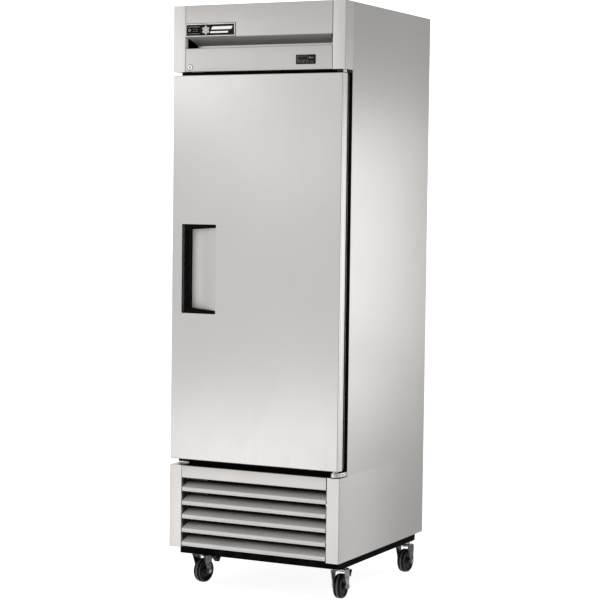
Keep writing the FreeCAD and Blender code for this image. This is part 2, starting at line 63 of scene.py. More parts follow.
# ------------------------------------------------------------------ camera
AZ, EL, ROLL = math.radians(26.651), math.radians(3.226), math.radians(0.7296)
back = Vector((math.sin(AZ) * math.cos(EL), -math.cos(AZ) * math.cos(EL), math.sin(EL)))
fwd = -back
right = fwd.cross(Vector((0, 0, 1))).normalized()
up = right.cross(fwd)
r2 = right * math.cos(ROLL) + up * math.sin(ROLL)
u2 = up * math.cos(ROLL) - right * math.sin(ROLL)
cam_data = bpy.data.cameras.new("camera")
cam_data.lens = 111.11
cam_data.sensor_width = 36.0
cam_data.clip_end = 200.0
cam = bpy.data.objects.new("camera", cam_data)
scene.collection.objects.link(cam)
cam.matrix_world = Matrix((
    (r2.x, u2.x, back.x, 3.0899),
    (r2.y, u2.y, back.y, -6.1687),
    (r2.z, u2.z, back.z, 1.4395),
    (0, 0, 0, 1),
))
scene.camera = cam


# ------------------------------------------------------------------ node helpers
class Mat:
    def __init__(self, name):
        self.m = bpy.data.materials.new(name)
        self.m.use_nodes = True
        self.t = self.m.node_tree
        self.t.nodes.clear()
        self.out = self.n("ShaderNodeOutputMaterial")
        self.p = self.n("ShaderNodeBsdfPrincipled")
        self.link(self.p.outputs[0], self.out.inputs[0])
        tc = self.n("ShaderNodeTexCoord")
        self.obj = tc.outputs["Object"]

    def n(self, kind, **kw):
        node = self.t.nodes.new(kind)
        for k, v in kw.items():
            setattr(node, k, v)
        return node

    def link(self, a, b):
        self.t.links.new(a, b)

    def mapping(self, scale, loc=(0, 0, 0), src=None):
        m = self.n("ShaderNodeMapping")
        m.inputs["Scale"].default_value = scale
        m.inputs["Location"].default_value = loc
        self.link(src or self.obj, m.inputs["Vector"])
        return m.outputs[0]

    def noise(self, scale, vec=None, detail=4.0, rough=0.55, dist=0.0):
        n = self.n("ShaderNodeTexNoise")
        n.inputs["Scale"].default_value = scale
        n.inputs["Detail"].default_value = detail
        n.inputs["Roughness"].default_value = rough
        n.inputs["Distortion"].default_value = dist
        self.link(vec or self.obj, n.inputs["Vector"])
        return n.outputs["Fac"]

    def math(self, op, a, b=None, clamp=False):
        n = self.n("ShaderNodeMath", operation=op)
        n.use_clamp = clamp
        for i, v in enumerate((a, b)):
            if v is None:
                continue
            if isinstance(v, (int, float)):
                n.inputs[i].default_value = v
            else:
                self.link(v, n.inputs[i])
        return n.outputs[0]

    def remap(self, v, a, b, c, d):
        n = self.n("ShaderNodeMapRange")
        self.link(v, n.inputs["Value"])
        n.inputs["From Min"].default_value = a
        n.inputs["From Max"].default_value = b
        n.inputs["To Min"].default_value = c
        n.inputs["To Max"].default_value = d
        return n.outputs[0]

    def mix(self, fac, a, b):
        n = self.n("ShaderNodeMix", data_type="RGBA")
        if isinstance(fac, (int, float)):
            n.inputs["Factor"].default_value = fac
        else:
            self.link(fac, n.inputs["Factor"])
        for key, v in (("A", a), ("B", b)):
            sock = [s for s in n.inputs if s.name == key and s.type == "RGBA"][0]
            if isinstance(v, tuple):
                sock.default_value = (*v[:3], 1.0)
            else:
                self.link(v, sock)
        return [s for s in n.outputs if s.type == "RGBA"][0]

    def bump(self, height, strength, dist, chain=None):
        b = self.n("ShaderNodeBump")
        b.inputs["Strength"].default_value = strength
        b.inputs["Distance"].default_value = dist
        self.link(height, b.inputs["Height"])
        if chain is not None:
            self.link(chain, b.inputs["Normal"])
        return b.outputs[0]

    def set(self, **kw):
        names = {"color": "Base Color", "rough": "Roughness", "metal": "Metallic", "normal": "Normal", "ior": "IOR",
                 "spec": "Specular IOR Level", "coat": "Coat Weight", "coat_rough": "Coat Roughness",
                 "trans": "Transmission Weight", "emit": "Emission Color", "emit_s": "Emission Strength", "alpha": "Alpha",
                 "sheen": "Sheen Weight", "aniso": "Anisotropic"}
        for k, v in kw.items():
            sock = self.p.inputs[names[k]]
            if isinstance(v, tuple):
                sock.default_value = (*v[:3], 1.0)
            elif isinstance(v, (int, float)):
                sock.default_value = v
            else:
                self.link(v, sock)
        return self


def steel(name, axis, base=(0.70, 0.695, 0.685), rough=0.34, grain=1.0, metal=1.0):
    """Number four polished stainless sheet: long fine scratches along axis, a slow cloudiness and handling marks."""
    M = Mat(name)
    s = [950.0, 950.0, 950.0]
    s["xyz".index(axis)] = 9.0
    fine = M.noise(1.0, M.mapping(tuple(s)), detail=3.0, rough=0.7)
    s2 = [260.0, 260.0, 260.0]
    s2["xyz".index(axis)] = 2.2
    coarse = M.noise(1.0, M.mapping(tuple(s2), (3.1, 1.7, 9.2)), detail=2.0, rough=0.6)
    cloud = M.noise(2.4, detail=3.0, rough=0.5)
    marks = M.noise(9.0, M.mapping((1, 1, 0.7), (5.0, 2.0, 1.0)), detail=5.0, rough=0.62, dist=0.4)
    col = M.mix(M.remap(fine, 0.3, 0.7, 0, 1), tuple(c * 0.955 for c in base), tuple(min(1, c * 1.03) for c in base))
    col = M.mix(M.remap(cloud, 0.35, 0.65, 0, 1), col, M.mix(0.5, col, tuple(c * 0.95 for c in base)))
    r = M.math("ADD", M.remap(fine, 0.25, 0.75, rough - 0.05, rough + 0.07), M.remap(coarse, 0.3, 0.7, -0.012, 0.012))
    r = M.math("ADD", r, M.remap(marks, 0.45, 0.75, 0.0, 0.035))
    h = M.math("ADD", M.math("MULTIPLY", fine, 0.6), M.math("MULTIPLY", coarse, 0.4))
    n = M.bump(h, 0.10 * grain, 0.0004)
    M.set(color=col, rough=r, metal=metal, normal=n)
    return M.m


def satin_blade(name, base=(0.72, 0.715, 0.70), axis="x", metal=0.45, rear=None, lit_edge=None):
    """Satin finished louver blades: scratches along the blade, partly matt, random dust patches. A span along y paints
    shade: the colour goes to near black towards the back edge. A span along x paints light: the colour goes lighter
    towards one edge.
    """
    M = Mat(name)
    fine = M.noise(1.0, M.mapping((9.0, 900.0, 900.0) if axis == "x" else (900.0, 900.0, 9.0)), detail=3.0, rough=0.7)
    dust = M.noise(18.0, M.mapping((0.4, 1, 1) if axis == "x" else (1, 1, 0.4)), detail=4.0, rough=0.6)
    col = M.mix(M.remap(fine, 0.3, 0.7, 0, 1), tuple(c * 0.95 for c in base), tuple(min(1, c * 1.03) for c in base))
    col = M.mix(M.remap(dust, 0.4, 0.8, 0, 0.35), col, (0.50, 0.495, 0.485))
    # painted shade: the colour goes to near black towards the back edge, between the two y values given, standing for
    # the shade under the blade above
    if rear:
        sep = M.n("ShaderNodeSeparateXYZ")
        M.link(M.obj, sep.inputs[0])
        edge = M.math("ADD", sep.outputs[1], M.math("MULTIPLY", M.noise(60.0, M.mapping((0.3, 1, 1)), detail=3.0), 0.006))
        grime_and_shade = M.n("ShaderNodeMapRange", interpolation_type="SMOOTHSTEP")
        M.link(edge, grime_and_shade.inputs["Value"])
        grime_and_shade.inputs["From Min"].default_value, grime_and_shade.inputs["From Max"].default_value = rear
        col = M.mix(grime_and_shade.outputs[0], col, (0.006, 0.006, 0.006))
    # painted light: the colour goes lighter towards the edge below the first x value, standing in for light where the
    # grip casts shadow
    if lit_edge:
        sep = M.n("ShaderNodeSeparateXYZ")
        M.link(M.obj, sep.inputs[0])
        edge = M.math("ADD", sep.outputs[0], M.math("MULTIPLY", M.noise(45.0, detail=3.0), 0.004))
        worn = M.n("ShaderNodeMapRange", interpolation_type="SMOOTHSTEP")
        M.link(edge, worn.inputs["Value"])
        worn.inputs["From Min"].default_value, worn.inputs["From Max"].default_value = lit_edge
        col = M.mix(worn.outputs[0], (0.93, 0.92, 0.905), col)
    M.set(color=col, rough=M.remap(fine, 0.3, 0.7, 0.40, 0.52), metal=metal, normal=M.bump(fine, 0.08, 0.0004))
    return M.m


def plastic(name, base, rough=0.45, grain=0.2, scale=1400.0, wear=0.03, spec=0.5):
    M = Mat(name)
    g = M.noise(scale, detail=2.0, rough=0.5)
    c = M.noise(30.0, detail=4.0, rough=0.6)
    col = M.mix(M.remap(c, 0.35, 0.7, 0, 1), base, tuple(min(1, x + wear) for x in base))
    r = M.remap(c, 0.3, 0.7, rough - 0.05, rough + 0.08)
    M.set(color=col, rough=r, normal=M.bump(g, grain, 0.0002), spec=spec)
    return M.m


def powder(name, base, rough=0.5, spec=0.18):
    """Powder coat: orange peel at about a millimetre, a little dust in the flats."""
    M = Mat(name)
    peel = M.noise(620.0, detail=1.5, rough=0.4)
    dust = M.noise(14.0, detail=5.0, rough=0.65)
    col = M.mix(M.remap(dust, 0.45, 0.75, 0, 0.6), base, tuple(min(1, x + 0.012) for x in base))
    M.set(color=col, rough=M.remap(dust, 0.3, 0.7, rough, rough + 0.15), normal=M.bump(peel, 0.25, 0.0003), spec=spec)
    return M.m


def zinc(name, base=(0.66, 0.66, 0.64), rough=0.28):
    """Bright zinc plate: passivation tint, fine pitting, dulled patches."""
    M = Mat(name)
    patch = M.noise(55.0, detail=4.0, rough=0.6)
    fine = M.noise(700.0, detail=2.0)
    tint = M.mix(M.remap(patch, 0.35, 0.65, 0, 1), base, (base[0] * 0.86, base[1] * 0.87, base[2] * 0.86))
    M.set(color=tint, rough=M.remap(patch, 0.3, 0.7, rough - 0.06, rough + 0.14), metal=1.0, normal=M.bump(fine, 0.08, 0.0002))
    return M.m


def mottled_zinc(name, light, dark):
    """Zinc plated pressing with dulled and grimy patches, mixed at random between the light and the dark colour it is
    given.
    """
    M = Mat(name)
    grime_and_shade = M.noise(85.0, detail=5.0, rough=0.6, dist=0.3)
    fine = M.noise(600.0, detail=2.0)
    col = M.mix(M.remap(grime_and_shade, 0.38, 0.62, 0, 1), light, dark)
    M.set(color=col, rough=M.remap(grime_and_shade, 0.3, 0.7, 0.16, 0.42), metal=1.0, normal=M.bump(M.math("ADD", fine, M.math("MULTIPLY", grime_and_shade, 3.0)), 0.12, 0.0006))
    return M.m


def galvanised(name):
    """Hot dip galvanised sheet: crystal spangle of a centimetre or so."""
    M = Mat(name)
    v = M.n("ShaderNodeTexVoronoi", feature="F1")
    v.inputs["Scale"].default_value = 95.0
    M.link(M.obj, v.inputs["Vector"])
    sep = M.n("ShaderNodeSeparateColor")
    M.link(v.outputs["Color"], sep.inputs[0])
    fine = M.noise(420.0, detail=3.0)
    col = M.mix(sep.outputs[0], (0.50, 0.51, 0.52), (0.66, 0.67, 0.68))
    r = M.math("ADD", M.remap(sep.outputs[1], 0, 1, 0.34, 0.52), M.remap(fine, 0.3, 0.7, -0.03, 0.03))
    M.set(color=col, rough=r, metal=1.0, normal=M.bump(fine, 0.05, 0.0002))
    return M.m


def rubber(name, base=(0.022, 0.022, 0.024), rough=0.6, scale=900.0, spec=0.28, haze=0.015):
    M = Mat(name)
    g = M.noise(scale, detail=3.0, rough=0.6)
    d = M.noise(45.0, detail=4.0, rough=0.6)
    col = M.mix(M.remap(d, 0.4, 0.75, 0, 0.7), base, tuple(x + haze for x in base))
    M.set(color=col, rough=M.remap(d, 0.3, 0.7, rough - 0.08, rough + 0.1), normal=M.bump(g, 0.18, 0.0002), spec=spec)
    return M.m


def painted(name, base, rough=0.35, peel=0.12):
    M = Mat(name)
    p = M.noise(260.0, detail=1.5)
    d = M.noise(7.0, detail=4.0)
    col = M.mix(M.remap(d, 0.35, 0.7, 0, 1), base, tuple(x * 0.965 for x in base))
    M.set(color=col, rough=M.remap(d, 0.3, 0.7, rough - 0.04, rough + 0.06), normal=M.bump(p, peel, 0.0002))
    return M.m


MAT = {}
MAT["steel_v"] = steel("stainless_vertical_grain", "z")
MAT["steel_side"] = steel("stainless_side_panel", "z", base=(0.70, 0.69, 0.675), rough=0.38)
MAT["steel_h"] = steel("stainless_horizontal_grain", "x")
# painted shade: darker copies of the front stainless (base 0.585 against 0.70) for the header panels and the grille
# band, standing for the shade on them
MAT["steel_header_shaded"] = steel("stainless_header_panels_painted_shade", "x", base=(0.585, 0.575, 0.565), rough=0.36)
MAT["steel_band_shaded"] = steel("stainless_grille_band_painted_shade", "x", base=(0.585, 0.575, 0.565))
MAT["steel_louver"] = satin_blade("stainless_louvers", base=(0.67, 0.66, 0.65))
# painted light and shade: the louver treads are a lighter, less metallic copy of the blade steel, going to near black
# towards the back edge
MAT["steel_tread"] = satin_blade("stainless_louver_treads_painted_light_and_shade", base=(0.86, 0.855, 0.845), metal=0.25, rear=(-0.345, -0.312))
# painted light: the pocket sheet is coloured lighter along the edge beside the grip
MAT["steel_pocket_lit_edge"] = satin_blade("stainless_pocket_painted_light", base=(0.60, 0.59, 0.58), axis="z", metal=0.35, lit_edge=(-0.268, -0.200))
# painted shade: a darker copy of the stainless for the downward faces of the header cove
MAT["steel_cove"] = satin_blade("stainless_cove_painted_shade", base=(0.50, 0.49, 0.48), metal=0.75)
# painted light: a lighter, almost matt copy of the stainless for the front of the header corners' inner faces
MAT["steel_flange"] = satin_blade("stainless_post_flange_painted_light", base=(0.80, 0.79, 0.78), axis="z", metal=0.05)
# painted light: a lighter copy of the door stainless for the door's side returns
MAT["steel_return"] = steel("stainless_door_returns_painted_light", "z", base=(0.90, 0.895, 0.88), rough=0.42)
MAT["galv"] = galvanised("galvanised_sheet")
MAT["black_plastic"] = plastic("black_moulded_plastic", (0.003, 0.003, 0.003), rough=0.5, wear=0.003, spec=0.07)
# black trim; also used as painted shade, for dark strips and faces put where gaps and recesses lie in shade
MAT["face_black"] = plastic("black_trim_and_painted_shade", (0.003, 0.003, 0.003), rough=0.55, wear=0.003, spec=0.05)
MAT["black_gloss"] = plastic("black_gloss_plastic", (0.004, 0.004, 0.004), rough=0.3, grain=0.02, wear=0.003, spec=0.12)
MAT["black_steel"] = powder("black_powder_coat", (0.016, 0.016, 0.017))
MAT["gasket"] = rubber("gasket_vinyl", (0.003, 0.003, 0.003), rough=0.5, spec=0.06, haze=0.003)
MAT["tyre"] = rubber("caster_tyre", (0.003, 0.003, 0.003), rough=0.42, spec=0.12, haze=0.004)
MAT["wheel_core"] = plastic("caster_wheel_core", (0.006, 0.006, 0.006), rough=0.36, wear=0.006, spec=0.2)
MAT["zinc"] = zinc("bright_zinc")
# painted light and shade: a lighter and a darker copy of the caster zinc; the front right fork gets the lighter one,
# the others the darker one as shade
MAT["zinc_shaded"] = mottled_zinc("caster_zinc_painted_shade", (0.30, 0.29, 0.28), (0.07, 0.07, 0.068))
MAT["zinc_lit"] = mottled_zinc("caster_zinc", (0.70, 0.69, 0.67), (0.20, 0.195, 0.19))
# tread rubber lighter than the tyre: painted highlights on the tread crown and shoulder rings, the crown band also
# scuffed lighter by use
MAT["tread_worn"] = rubber("caster_tread_worn", (0.075, 0.075, 0.073), rough=0.45, spec=0.3)
MAT["chrome_dark"] = mottled_zinc("hinge_chrome", (0.95, 0.95, 0.94), (0.45, 0.44, 0.43))
MAT["chrome"] = zinc("polished_chrome", (0.93, 0.93, 0.92), rough=0.2)
MAT["liner"] = steel("liner_aluminium", "z", base=(0.80, 0.805, 0.80), rough=0.42, grain=0.5)
MAT["white_plastic"] = painted("white_breaker_plastic", (0.80, 0.80, 0.78), rough=0.4)
MAT["wire"] = painted("coated_shelf_wire", (0.72, 0.73, 0.72), rough=0.33)
MAT["fin"] = zinc("fin_aluminium", (0.74, 0.75, 0.76), rough=0.35)
MAT["print_white"] = painted("printed_white", (0.82, 0.82, 0.80), rough=0.5, peel=0.02)
MAT["mark_white"] = painted("mark_white", (0.95, 0.95, 0.94), rough=0.5, peel=0.02)
MAT["print_grey"] = painted("printed_grey", (0.30, 0.30, 0.30), rough=0.5, peel=0.02)
MAT["copper"] = zinc("drawn_copper", (0.72, 0.38, 0.25), rough=0.3)
MAT["foam"] = rubber("closed_cell_foam", (0.72, 0.62, 0.36), rough=0.85, scale=1600.0)
# painted light: a lighter copy of the stainless for the outer side faces of the header corners
MAT["steel_cap"] = steel("stainless_header_returns_painted_light", "z", base=(0.82, 0.81, 0.80), rough=0.38)
MAT["satin"] = zinc("satin_bezel", (0.84, 0.83, 0.82), rough=0.3)
MAT["cast"] = zinc("cast_hinge_zinc", (0.86, 0.86, 0.85), rough=0.2)
MAT["handle_black"] = plastic("handle_textured_black", (0.0018, 0.0017, 0.0016), rough=0.5, grain=0.3, wear=0.0012, spec=0.04)
MAT["key_grey"] = plastic("membrane_keys", (0.035, 0.035, 0.036), rough=0.4)
MAT["fin_dark"] = powder("black_condenser_fins", (0.008, 0.008, 0.008))
MAT["base_black"] = powder("black_base_rails", (0.0015, 0.0015, 0.0015), rough=0.7, spec=0.03)
M = Mat("smoked_display_window")
M.set(color=M.mix(M.noise(24.0), (0.006, 0.006, 0.007), (0.012, 0.012, 0.013)), rough=M.remap(M.noise(60.0), 0.3, 0.7, 0.16, 0.26), spec=0.16)
MAT["display"] = M.m
M = Mat("frosted_lamp_cover")
M.set(color=(0.86, 0.87, 0.85), rough=M.remap(M.noise(300.0), 0.3, 0.7, 0.3, 0.45), trans=0.5, normal=M.bump(M.noise(500.0), 0.2, 0.0004))
MAT["lamp"] = M.m


# ------------------------------------------------------------------ mesh helpers
def finish_mesh(name, bm, mat, body, replaces=(), angle=32.0, smooth=True, bevel=None, seg=2):
    bmesh.ops.remove_doubles(bm, verts=bm.verts, dist=1e-4)
    bmesh.ops.recalc_face_normals(bm, faces=bm.faces)
    me = bpy.data.meshes.new(name)
    for v in bm.verts:
        v.co = v.co * MM
    bm.to_mesh(me)
    bm.free()
    if smooth:
        for p in me.polygons:
            p.use_smooth = True
        me.set_sharp_from_angle(angle=math.radians(angle))
    me.materials.append(MAT[mat] if isinstance(mat, str) else mat)
    o = bpy.data.objects.new(name, me)
    scene.collection.objects.link(o)
    if bevel:
        b = o.modifiers.new("bevel", "BEVEL")
        b.width = bevel * MM
        b.segments = seg
        b.limit_method = "ANGLE"
        b.angle_limit = math.radians(40)
        b.harden_normals = True
    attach(o, body)
    if replaces:
        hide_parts(*replaces)
    return o


def add_faces(bm, verts, faces):
    vs = [bm.verts.new(v) for v in verts]
    for f in faces:
        try:
            bm.faces.new([vs[i] for i in f])
        except ValueError:
            pass
    return vs


def add_prism(bm, pts, axis, a0, a1):
    """Closed prism of a 2D outline. axis x: points are (y, z); y: (x, z); z: (x, y)."""
    def at(p, a):
        return {"x": (a, p[0], p[1]), "y": (p[0], a, p[1]), "z": (p[0], p[1], a)}[axis]
    n = len(pts)
    A = [bm.verts.new(at(p, a0)) for p in pts]
    B = [bm.verts.new(at(p, a1)) for p in pts]
    for i in range(n):
        j = (i + 1) % n
        bm.faces.new((A[i], A[j], B[j], B[i]))
    bm.faces.new(A[::-1])
    bm.faces.new(B)
    return A + B


def add_box(bm, x0, x1, y0, y1, z0, z1, r=0.0, seg=2):
    before = set(bm.verts)
    add_prism(bm, [(x0, y0), (x1, y0), (x1, y1), (x0, y1)], "z", z0, z1)
    if r > 0:
        vs = [v for v in bm.verts if v not in before]
        es = list({e for v in vs for e in v.link_edges})
        bmesh.ops.bevel(bm, geom=es, offset=r, segments=seg, profile=0.5, affect="EDGES", clamp_overlap=True)


def fillet(pts, radii, seg=5, closed=False):
    """Rounds the corners of a 2D polyline. radii is one number or one per point."""
    n = len(pts)
    out = []
    for i, p in enumerate(pts):
        r = radii if isinstance(radii, (int, float)) else radii[i]
        if (not closed and i in (0, n - 1)) or r <= 0:
            out.append(tuple(p))
            continue
        a = Vector(pts[i - 1]) - Vector(p)
        b = Vector(pts[(i + 1) % n]) - Vector(p)
        la, lb = a.length, b.length
        a.normalize(), b.normalize()
        ang = a.angle(b)
        if ang > math.radians(178):
            out.append(tuple(p))
            continue
        d = min(r / math.tan(ang / 2), la * 0.49, lb * 0.49)
        rr = d * math.tan(ang / 2)
        c = Vector(p) + (a + b).normalized() * (rr / math.sin(ang / 2))
        s = Vector(p) + a * d - c
        e = Vector(p) + b * d - c
        tot = s.angle_signed(e)
        for k in range(seg + 1):
            t = -tot * k / seg
            out.append((c.x + s.x * math.cos(t) - s.y * math.sin(t), c.y + s.x * math.sin(t) + s.y * math.cos(t)))
    return out


def offset(pts, t):
    """Open polyline moved by t to its left."""
    out, n = [], len(pts)
    for i in range(n):
        ns = []
        for a, b in ((i - 1, i), (i, i + 1)):
            if a < 0 or b >= n:
                continue
            dx, dy = pts[b][0] - pts[a][0], pts[b][1] - pts[a][1]
            L = math.hypot(dx, dy) or 1e-9
            ns.append((-dy / L, dx / L))
        mx, my = sum(q[0] for q in ns), sum(q[1] for q in ns)
        L = math.hypot(mx, my) or 1e-9
        mx, my = mx / L, my / L
        k = t / max(0.3, mx * ns[0][0] + my * ns[0][1])
        out.append((pts[i][0] + mx * k, pts[i][1] + my * k))
    return out


def add_strip(bm, pts, t, axis, a0, a1):
    """Bent sheet: polyline pts thickened by t to its left, extruded along axis."""
    return add_prism(bm, list(pts) + offset(pts, t)[::-1], axis, a0, a1)


def add_lathe(bm, prof, origin, axis, seg=48):
    """Closed ring of profile (radius, along) turned about an axis through origin."""
    ax = Vector(axis).normalized()
    ref = Vector((0, 0, 1)) if abs(ax.z) < 0.9 else Vector((1, 0, 0))
    e1 = ax.cross(ref).normalized()
    e2 = ax.cross(e1)
    o = Vector(origin)
    rings = []
    for k in range(seg):
        a = 2 * math.pi * k / seg
        d = e1 * math.cos(a) + e2 * math.sin(a)
        rings.append([o + d * r + ax * h if r > 1e-6 else None for r, h in prof])
    axis_v = {i: bm.verts.new(o + ax * h) for i, (r, h) in enumerate(prof) if r <= 1e-6}
    vr = [[axis_v[i] if p is None else bm.verts.new(p) for i, p in enumerate(ring)] for ring in rings]
    for k in range(seg):
        A, B = vr[k], vr[(k + 1) % seg]
        for i in range(len(prof) - 1):
            q = []
            for v in (A[i], A[i + 1], B[i + 1], B[i]):
                if v not in q:
                    q.append(v)
            if len(q) > 2:
                bm.faces.new(q)
    if prof[0] == prof[-1]:
        pass


def add_sweep(bm, path, r, seg=10, cap=True):
    """Round wire along a 3D polyline."""
    P = [Vector(p) for p in path]
    n = len(P)
    t = [(P[min(i + 1, n - 1)] - P[max(i - 1, 0)]).normalized() for i in range(n)]
    u = t[0].orthogonal().normalized()
    rings = []
    for i in range(n):
        u = (u - t[i] * u.dot(t[i])).normalized()
        w = t[i].cross(u)
        rings.append([bm.verts.new(P[i] + (u * math.cos(2 * math.pi * k / seg) + w * math.sin(2 * math.pi * k / seg)) * r) for k in range(seg)])
    for a, b in zip(rings, rings[1:]):
        for k in range(seg):
            bm.faces.new((a[k], a[(k + 1) % seg], b[(k + 1) % seg], b[k]))
    if cap:
        bm.faces.new(rings[0][::-1])
        bm.faces.new(rings[-1])


def add_sweep_loop(bm, path, r, seg=10):
    P = [Vector(p) for p in path]
    n = len(P)
    t = [(P[(i + 1) % n] - P[i - 1]).normalized() for i in range(n)]
    nrm = None
    rings = []
    z = Vector((0, 0, 1))
    for i in range(n):
        u = t[i].cross(z)
        if u.length < 1e-4:
            u = t[i].orthogonal()
        u.normalize()
        w = t[i].cross(u)
        rings.append([bm.verts.new(P[i] + (u * math.cos(2 * math.pi * k / seg) + w * math.sin(2 * math.pi * k / seg)) * r) for k in range(seg)])
    for i in range(n):
        a, b = rings[i], rings[(i + 1) % n]
        for k in range(seg):
            bm.faces.new((a[k], a[(k + 1) % seg], b[(k + 1) % seg], b[k]))


def round_rect(x0, x1, z0, z1, r, seg=5):
    return fillet([(x0, z0), (x1, z0), (x1, z1), (x0, z1)], r, seg, closed=True)


def add_frame_sweep(bm, prof, x0, x1, z0, z1, rc=0.0, seg=4):
    """Closed section (outward, y) swept round a rectangle in the XZ plane. Corners are mitred, or rounded by rc."""
    base = round_rect(x0, x1, z0, z1, rc, seg) if rc > 0 else [(x0, z0), (x1, z0), (x1, z1), (x0, z1)]
    n = len(base)
    dirs = []
    for i in range(n):
        a, b, c = Vector(base[i - 1]), Vector(base[i]), Vector(base[(i + 1) % n])
        d1, d2 = (b - a).normalized(), (c - b).normalized()
        n1, n2 = Vector((d1.y, -d1.x)), Vector((d2.y, -d2.x))
        m = (n1 + n2).normalized()
        dirs.append(m / max(0.3, m.dot(n1)))
    loops = []
    for i in range(n):
        loops.append([bm.verts.new((base[i][0] + dirs[i].x * u, y, base[i][1] + dirs[i].y * u)) for u, y in prof])
    k = len(prof)
    for i in range(n):
        A, B = loops[i], loops[(i + 1) % n]
        for j in range(k):
            q = (j + 1) % k
            bm.faces.new((A[j], A[q], B[q], B[j]))


def curve_plate(loops, t, bevel=0.0):
    """2D outlines (first outer, rest holes), filled, t thick about z = 0, with a rounded edge. Returns a bmesh in mm."""
    cu = bpy.data.curves.new("tmp", "CURVE")
    cu.dimensions = "2D"
    cu.fill_mode = "BOTH"
    cu.bevel_depth = bevel
    cu.bevel_resolution = 2
    cu.offset = -bevel
    cu.extrude = max(0.0, t / 2 - bevel)
    for pts in loops:
        sp = cu.splines.new("POLY")
        sp.points.add(len(pts) - 1)
        for q, p in zip(sp.points, pts):
            q.co = (p[0], p[1], 0, 1)
        sp.use_cyclic_u = True
    o = bpy.data.objects.new("tmp", cu)
    scene.collection.objects.link(o)
    bpy.context.view_layer.update()
    me = bpy.data.meshes.new_from_object(o)
    bm = bmesh.new()
    bm.from_mesh(me)
    bpy.data.objects.remove(o)
    bpy.data.curves.remove(cu)
    bpy.data.meshes.remove(me)
    return bm


def plate_xz(loops, y0, y1, bevel=0.0):
    bm = curve_plate(loops, y1 - y0, bevel)
    for v in bm.verts:
        v.co = Vector((v.co.x, (y0 + y1) / 2 - v.co.z, v.co.y))
    return bm


def plate_yz(loops, x0, x1, bevel=0.0):
    bm = curve_plate(loops, x1 - x0, bevel)
    for v in bm.verts:
        v.co = Vector(((x0 + x1) / 2 + v.co.z, v.co.x, v.co.y))
    return bm


def plate_xy(loops, z0, z1, bevel=0.0):
    bm = curve_plate(loops, z1 - z0, bevel)
    for v in bm.verts:
        v.co = Vector((v.co.x, v.co.y, (z0 + z1) / 2 + v.co.z))
    return bm


def join(dst, src):
    me = bpy.data.meshes.new("tmp")
    src.to_mesh(me)
    dst.from_mesh(me)
    src.free()
    bpy.data.meshes.remove(me)
    return dst


def circle(cx, cy, r, n=32):
    return [(cx + r * math.cos(2 * math.pi * k / n), cy + r * math.sin(2 * math.pi * k / n)) for k in range(n)]


def mirrored(bm):
    c = bm.copy()
    for v in c.verts:
        v.co.x = -v.co.x
    bmesh.ops.reverse_faces(c, faces=c.faces)
    return c


def boolean(bm, cutter, op="DIFFERENCE"):
    """Exact boolean of two closed bmeshes, in mm."""
    tmp = []
    for b in (bm, cutter):
        bmesh.ops.recalc_face_normals(b, faces=b.faces)
        me = bpy.data.meshes.new("tmp")
        b.to_mesh(me)
        b.free()
        o = bpy.data.objects.new("tmp", me)
        scene.collection.objects.link(o)
        tmp.append(o)
    m = tmp[0].modifiers.new("cut", "BOOLEAN")
    m.operation = op
    m.object = tmp[1]
    m.solver = "EXACT"
    dg = bpy.context.evaluated_depsgraph_get()
    dg.update()
    me = bpy.data.meshes.new_from_object(tmp[0].evaluated_get(dg))
    out = bmesh.new()
    out.from_mesh(me)
    for o in tmp:
        old = o.data
        bpy.data.objects.remove(o)
        bpy.data.meshes.remove(old)
    bpy.data.meshes.remove(me)
    return out


def prism(pts, axis, a0, a1):
    bm = bmesh.new()
    add_prism(bm, pts, axis, a0, a1)
    return bm


def cylinder(origin, axis, r, h, seg=40):
    bm = bmesh.new()
    add_lathe(bm, [(0, 0), (r, 0), (r, h), (0, h)], origin, axis, seg)
    return bm


def boxes(*rows):
    bm = bmesh.new()
    for r in rows:
        add_box(bm, *r)
    return bm


def bevel_where(bm, test, r, seg=4):
    es = [e for e in bm.edges if test((e.verts[0].co + e.verts[1].co) / 2, e)]
    bmesh.ops.bevel(bm, geom=es, offset=r, segments=seg, profile=0.5, affect="EDGES", clamp_overlap=True)


# ------------------------------------------------------------------ dimensions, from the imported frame
def edge(node):
    lo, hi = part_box(node)
    return lo * 1000, hi * 1000


(SX0, SY0, SZ0), (SX1, SY1, SZ1) = edge("right_side_panel")
W2 = SX1
Y_FRONT, Y_FACE = SY0, -308.0
Z_LOW, Z_SEC, Z_HDR, Z_TOP = SZ0, 454.0, edge("header_lower_panel")[0].z, edge("top_panel")[1].z
POST, BX = 49.5, 293.0
LOWER_TOP = edge("header_lower_panel")[1].z
(_, _, _), (DX, _, DZ1) = edge("door_outer_skin")
DY0, DZ0 = edge("door_outer_skin")[0].y, edge("door_outer_skin")[0].z
DY1 = -336.0

# ------------------------------------------------------------------ cabinet sides with the lower front corner posts
for s, tag in ((1, "right"), (-1, "left")):
    bm = bmesh.new()
    add_box(bm, W2 - 1, W2, Y_FACE, SY1, Z_SEC, SZ1)
    path = fillet([(W2, SY1), (W2, Y_FRONT), (W2 - POST, Y_FRONT), (W2 - POST, -311)], [0, 2.6, 1.8, 0], 6)
    add_strip(bm, path, -1.0, "z", Z_LOW, Z_SEC)
    add_box(bm, 300, W2 - 1.2, Y_FRONT + 1.5, SY1 - 1, Z_LOW, Z_LOW + 1)
    add_box(bm, W2 - POST + 1.2, W2 - 1.2, Y_FRONT + 1.2, Y_FACE, Z_SEC - 1, Z_SEC)
    if s < 0:
        bm = mirrored(bm)
    finish_mesh("cabinet_side_" + tag, bm, "steel_side", "cabinet", [tag + "_side_panel", "front_posts"])

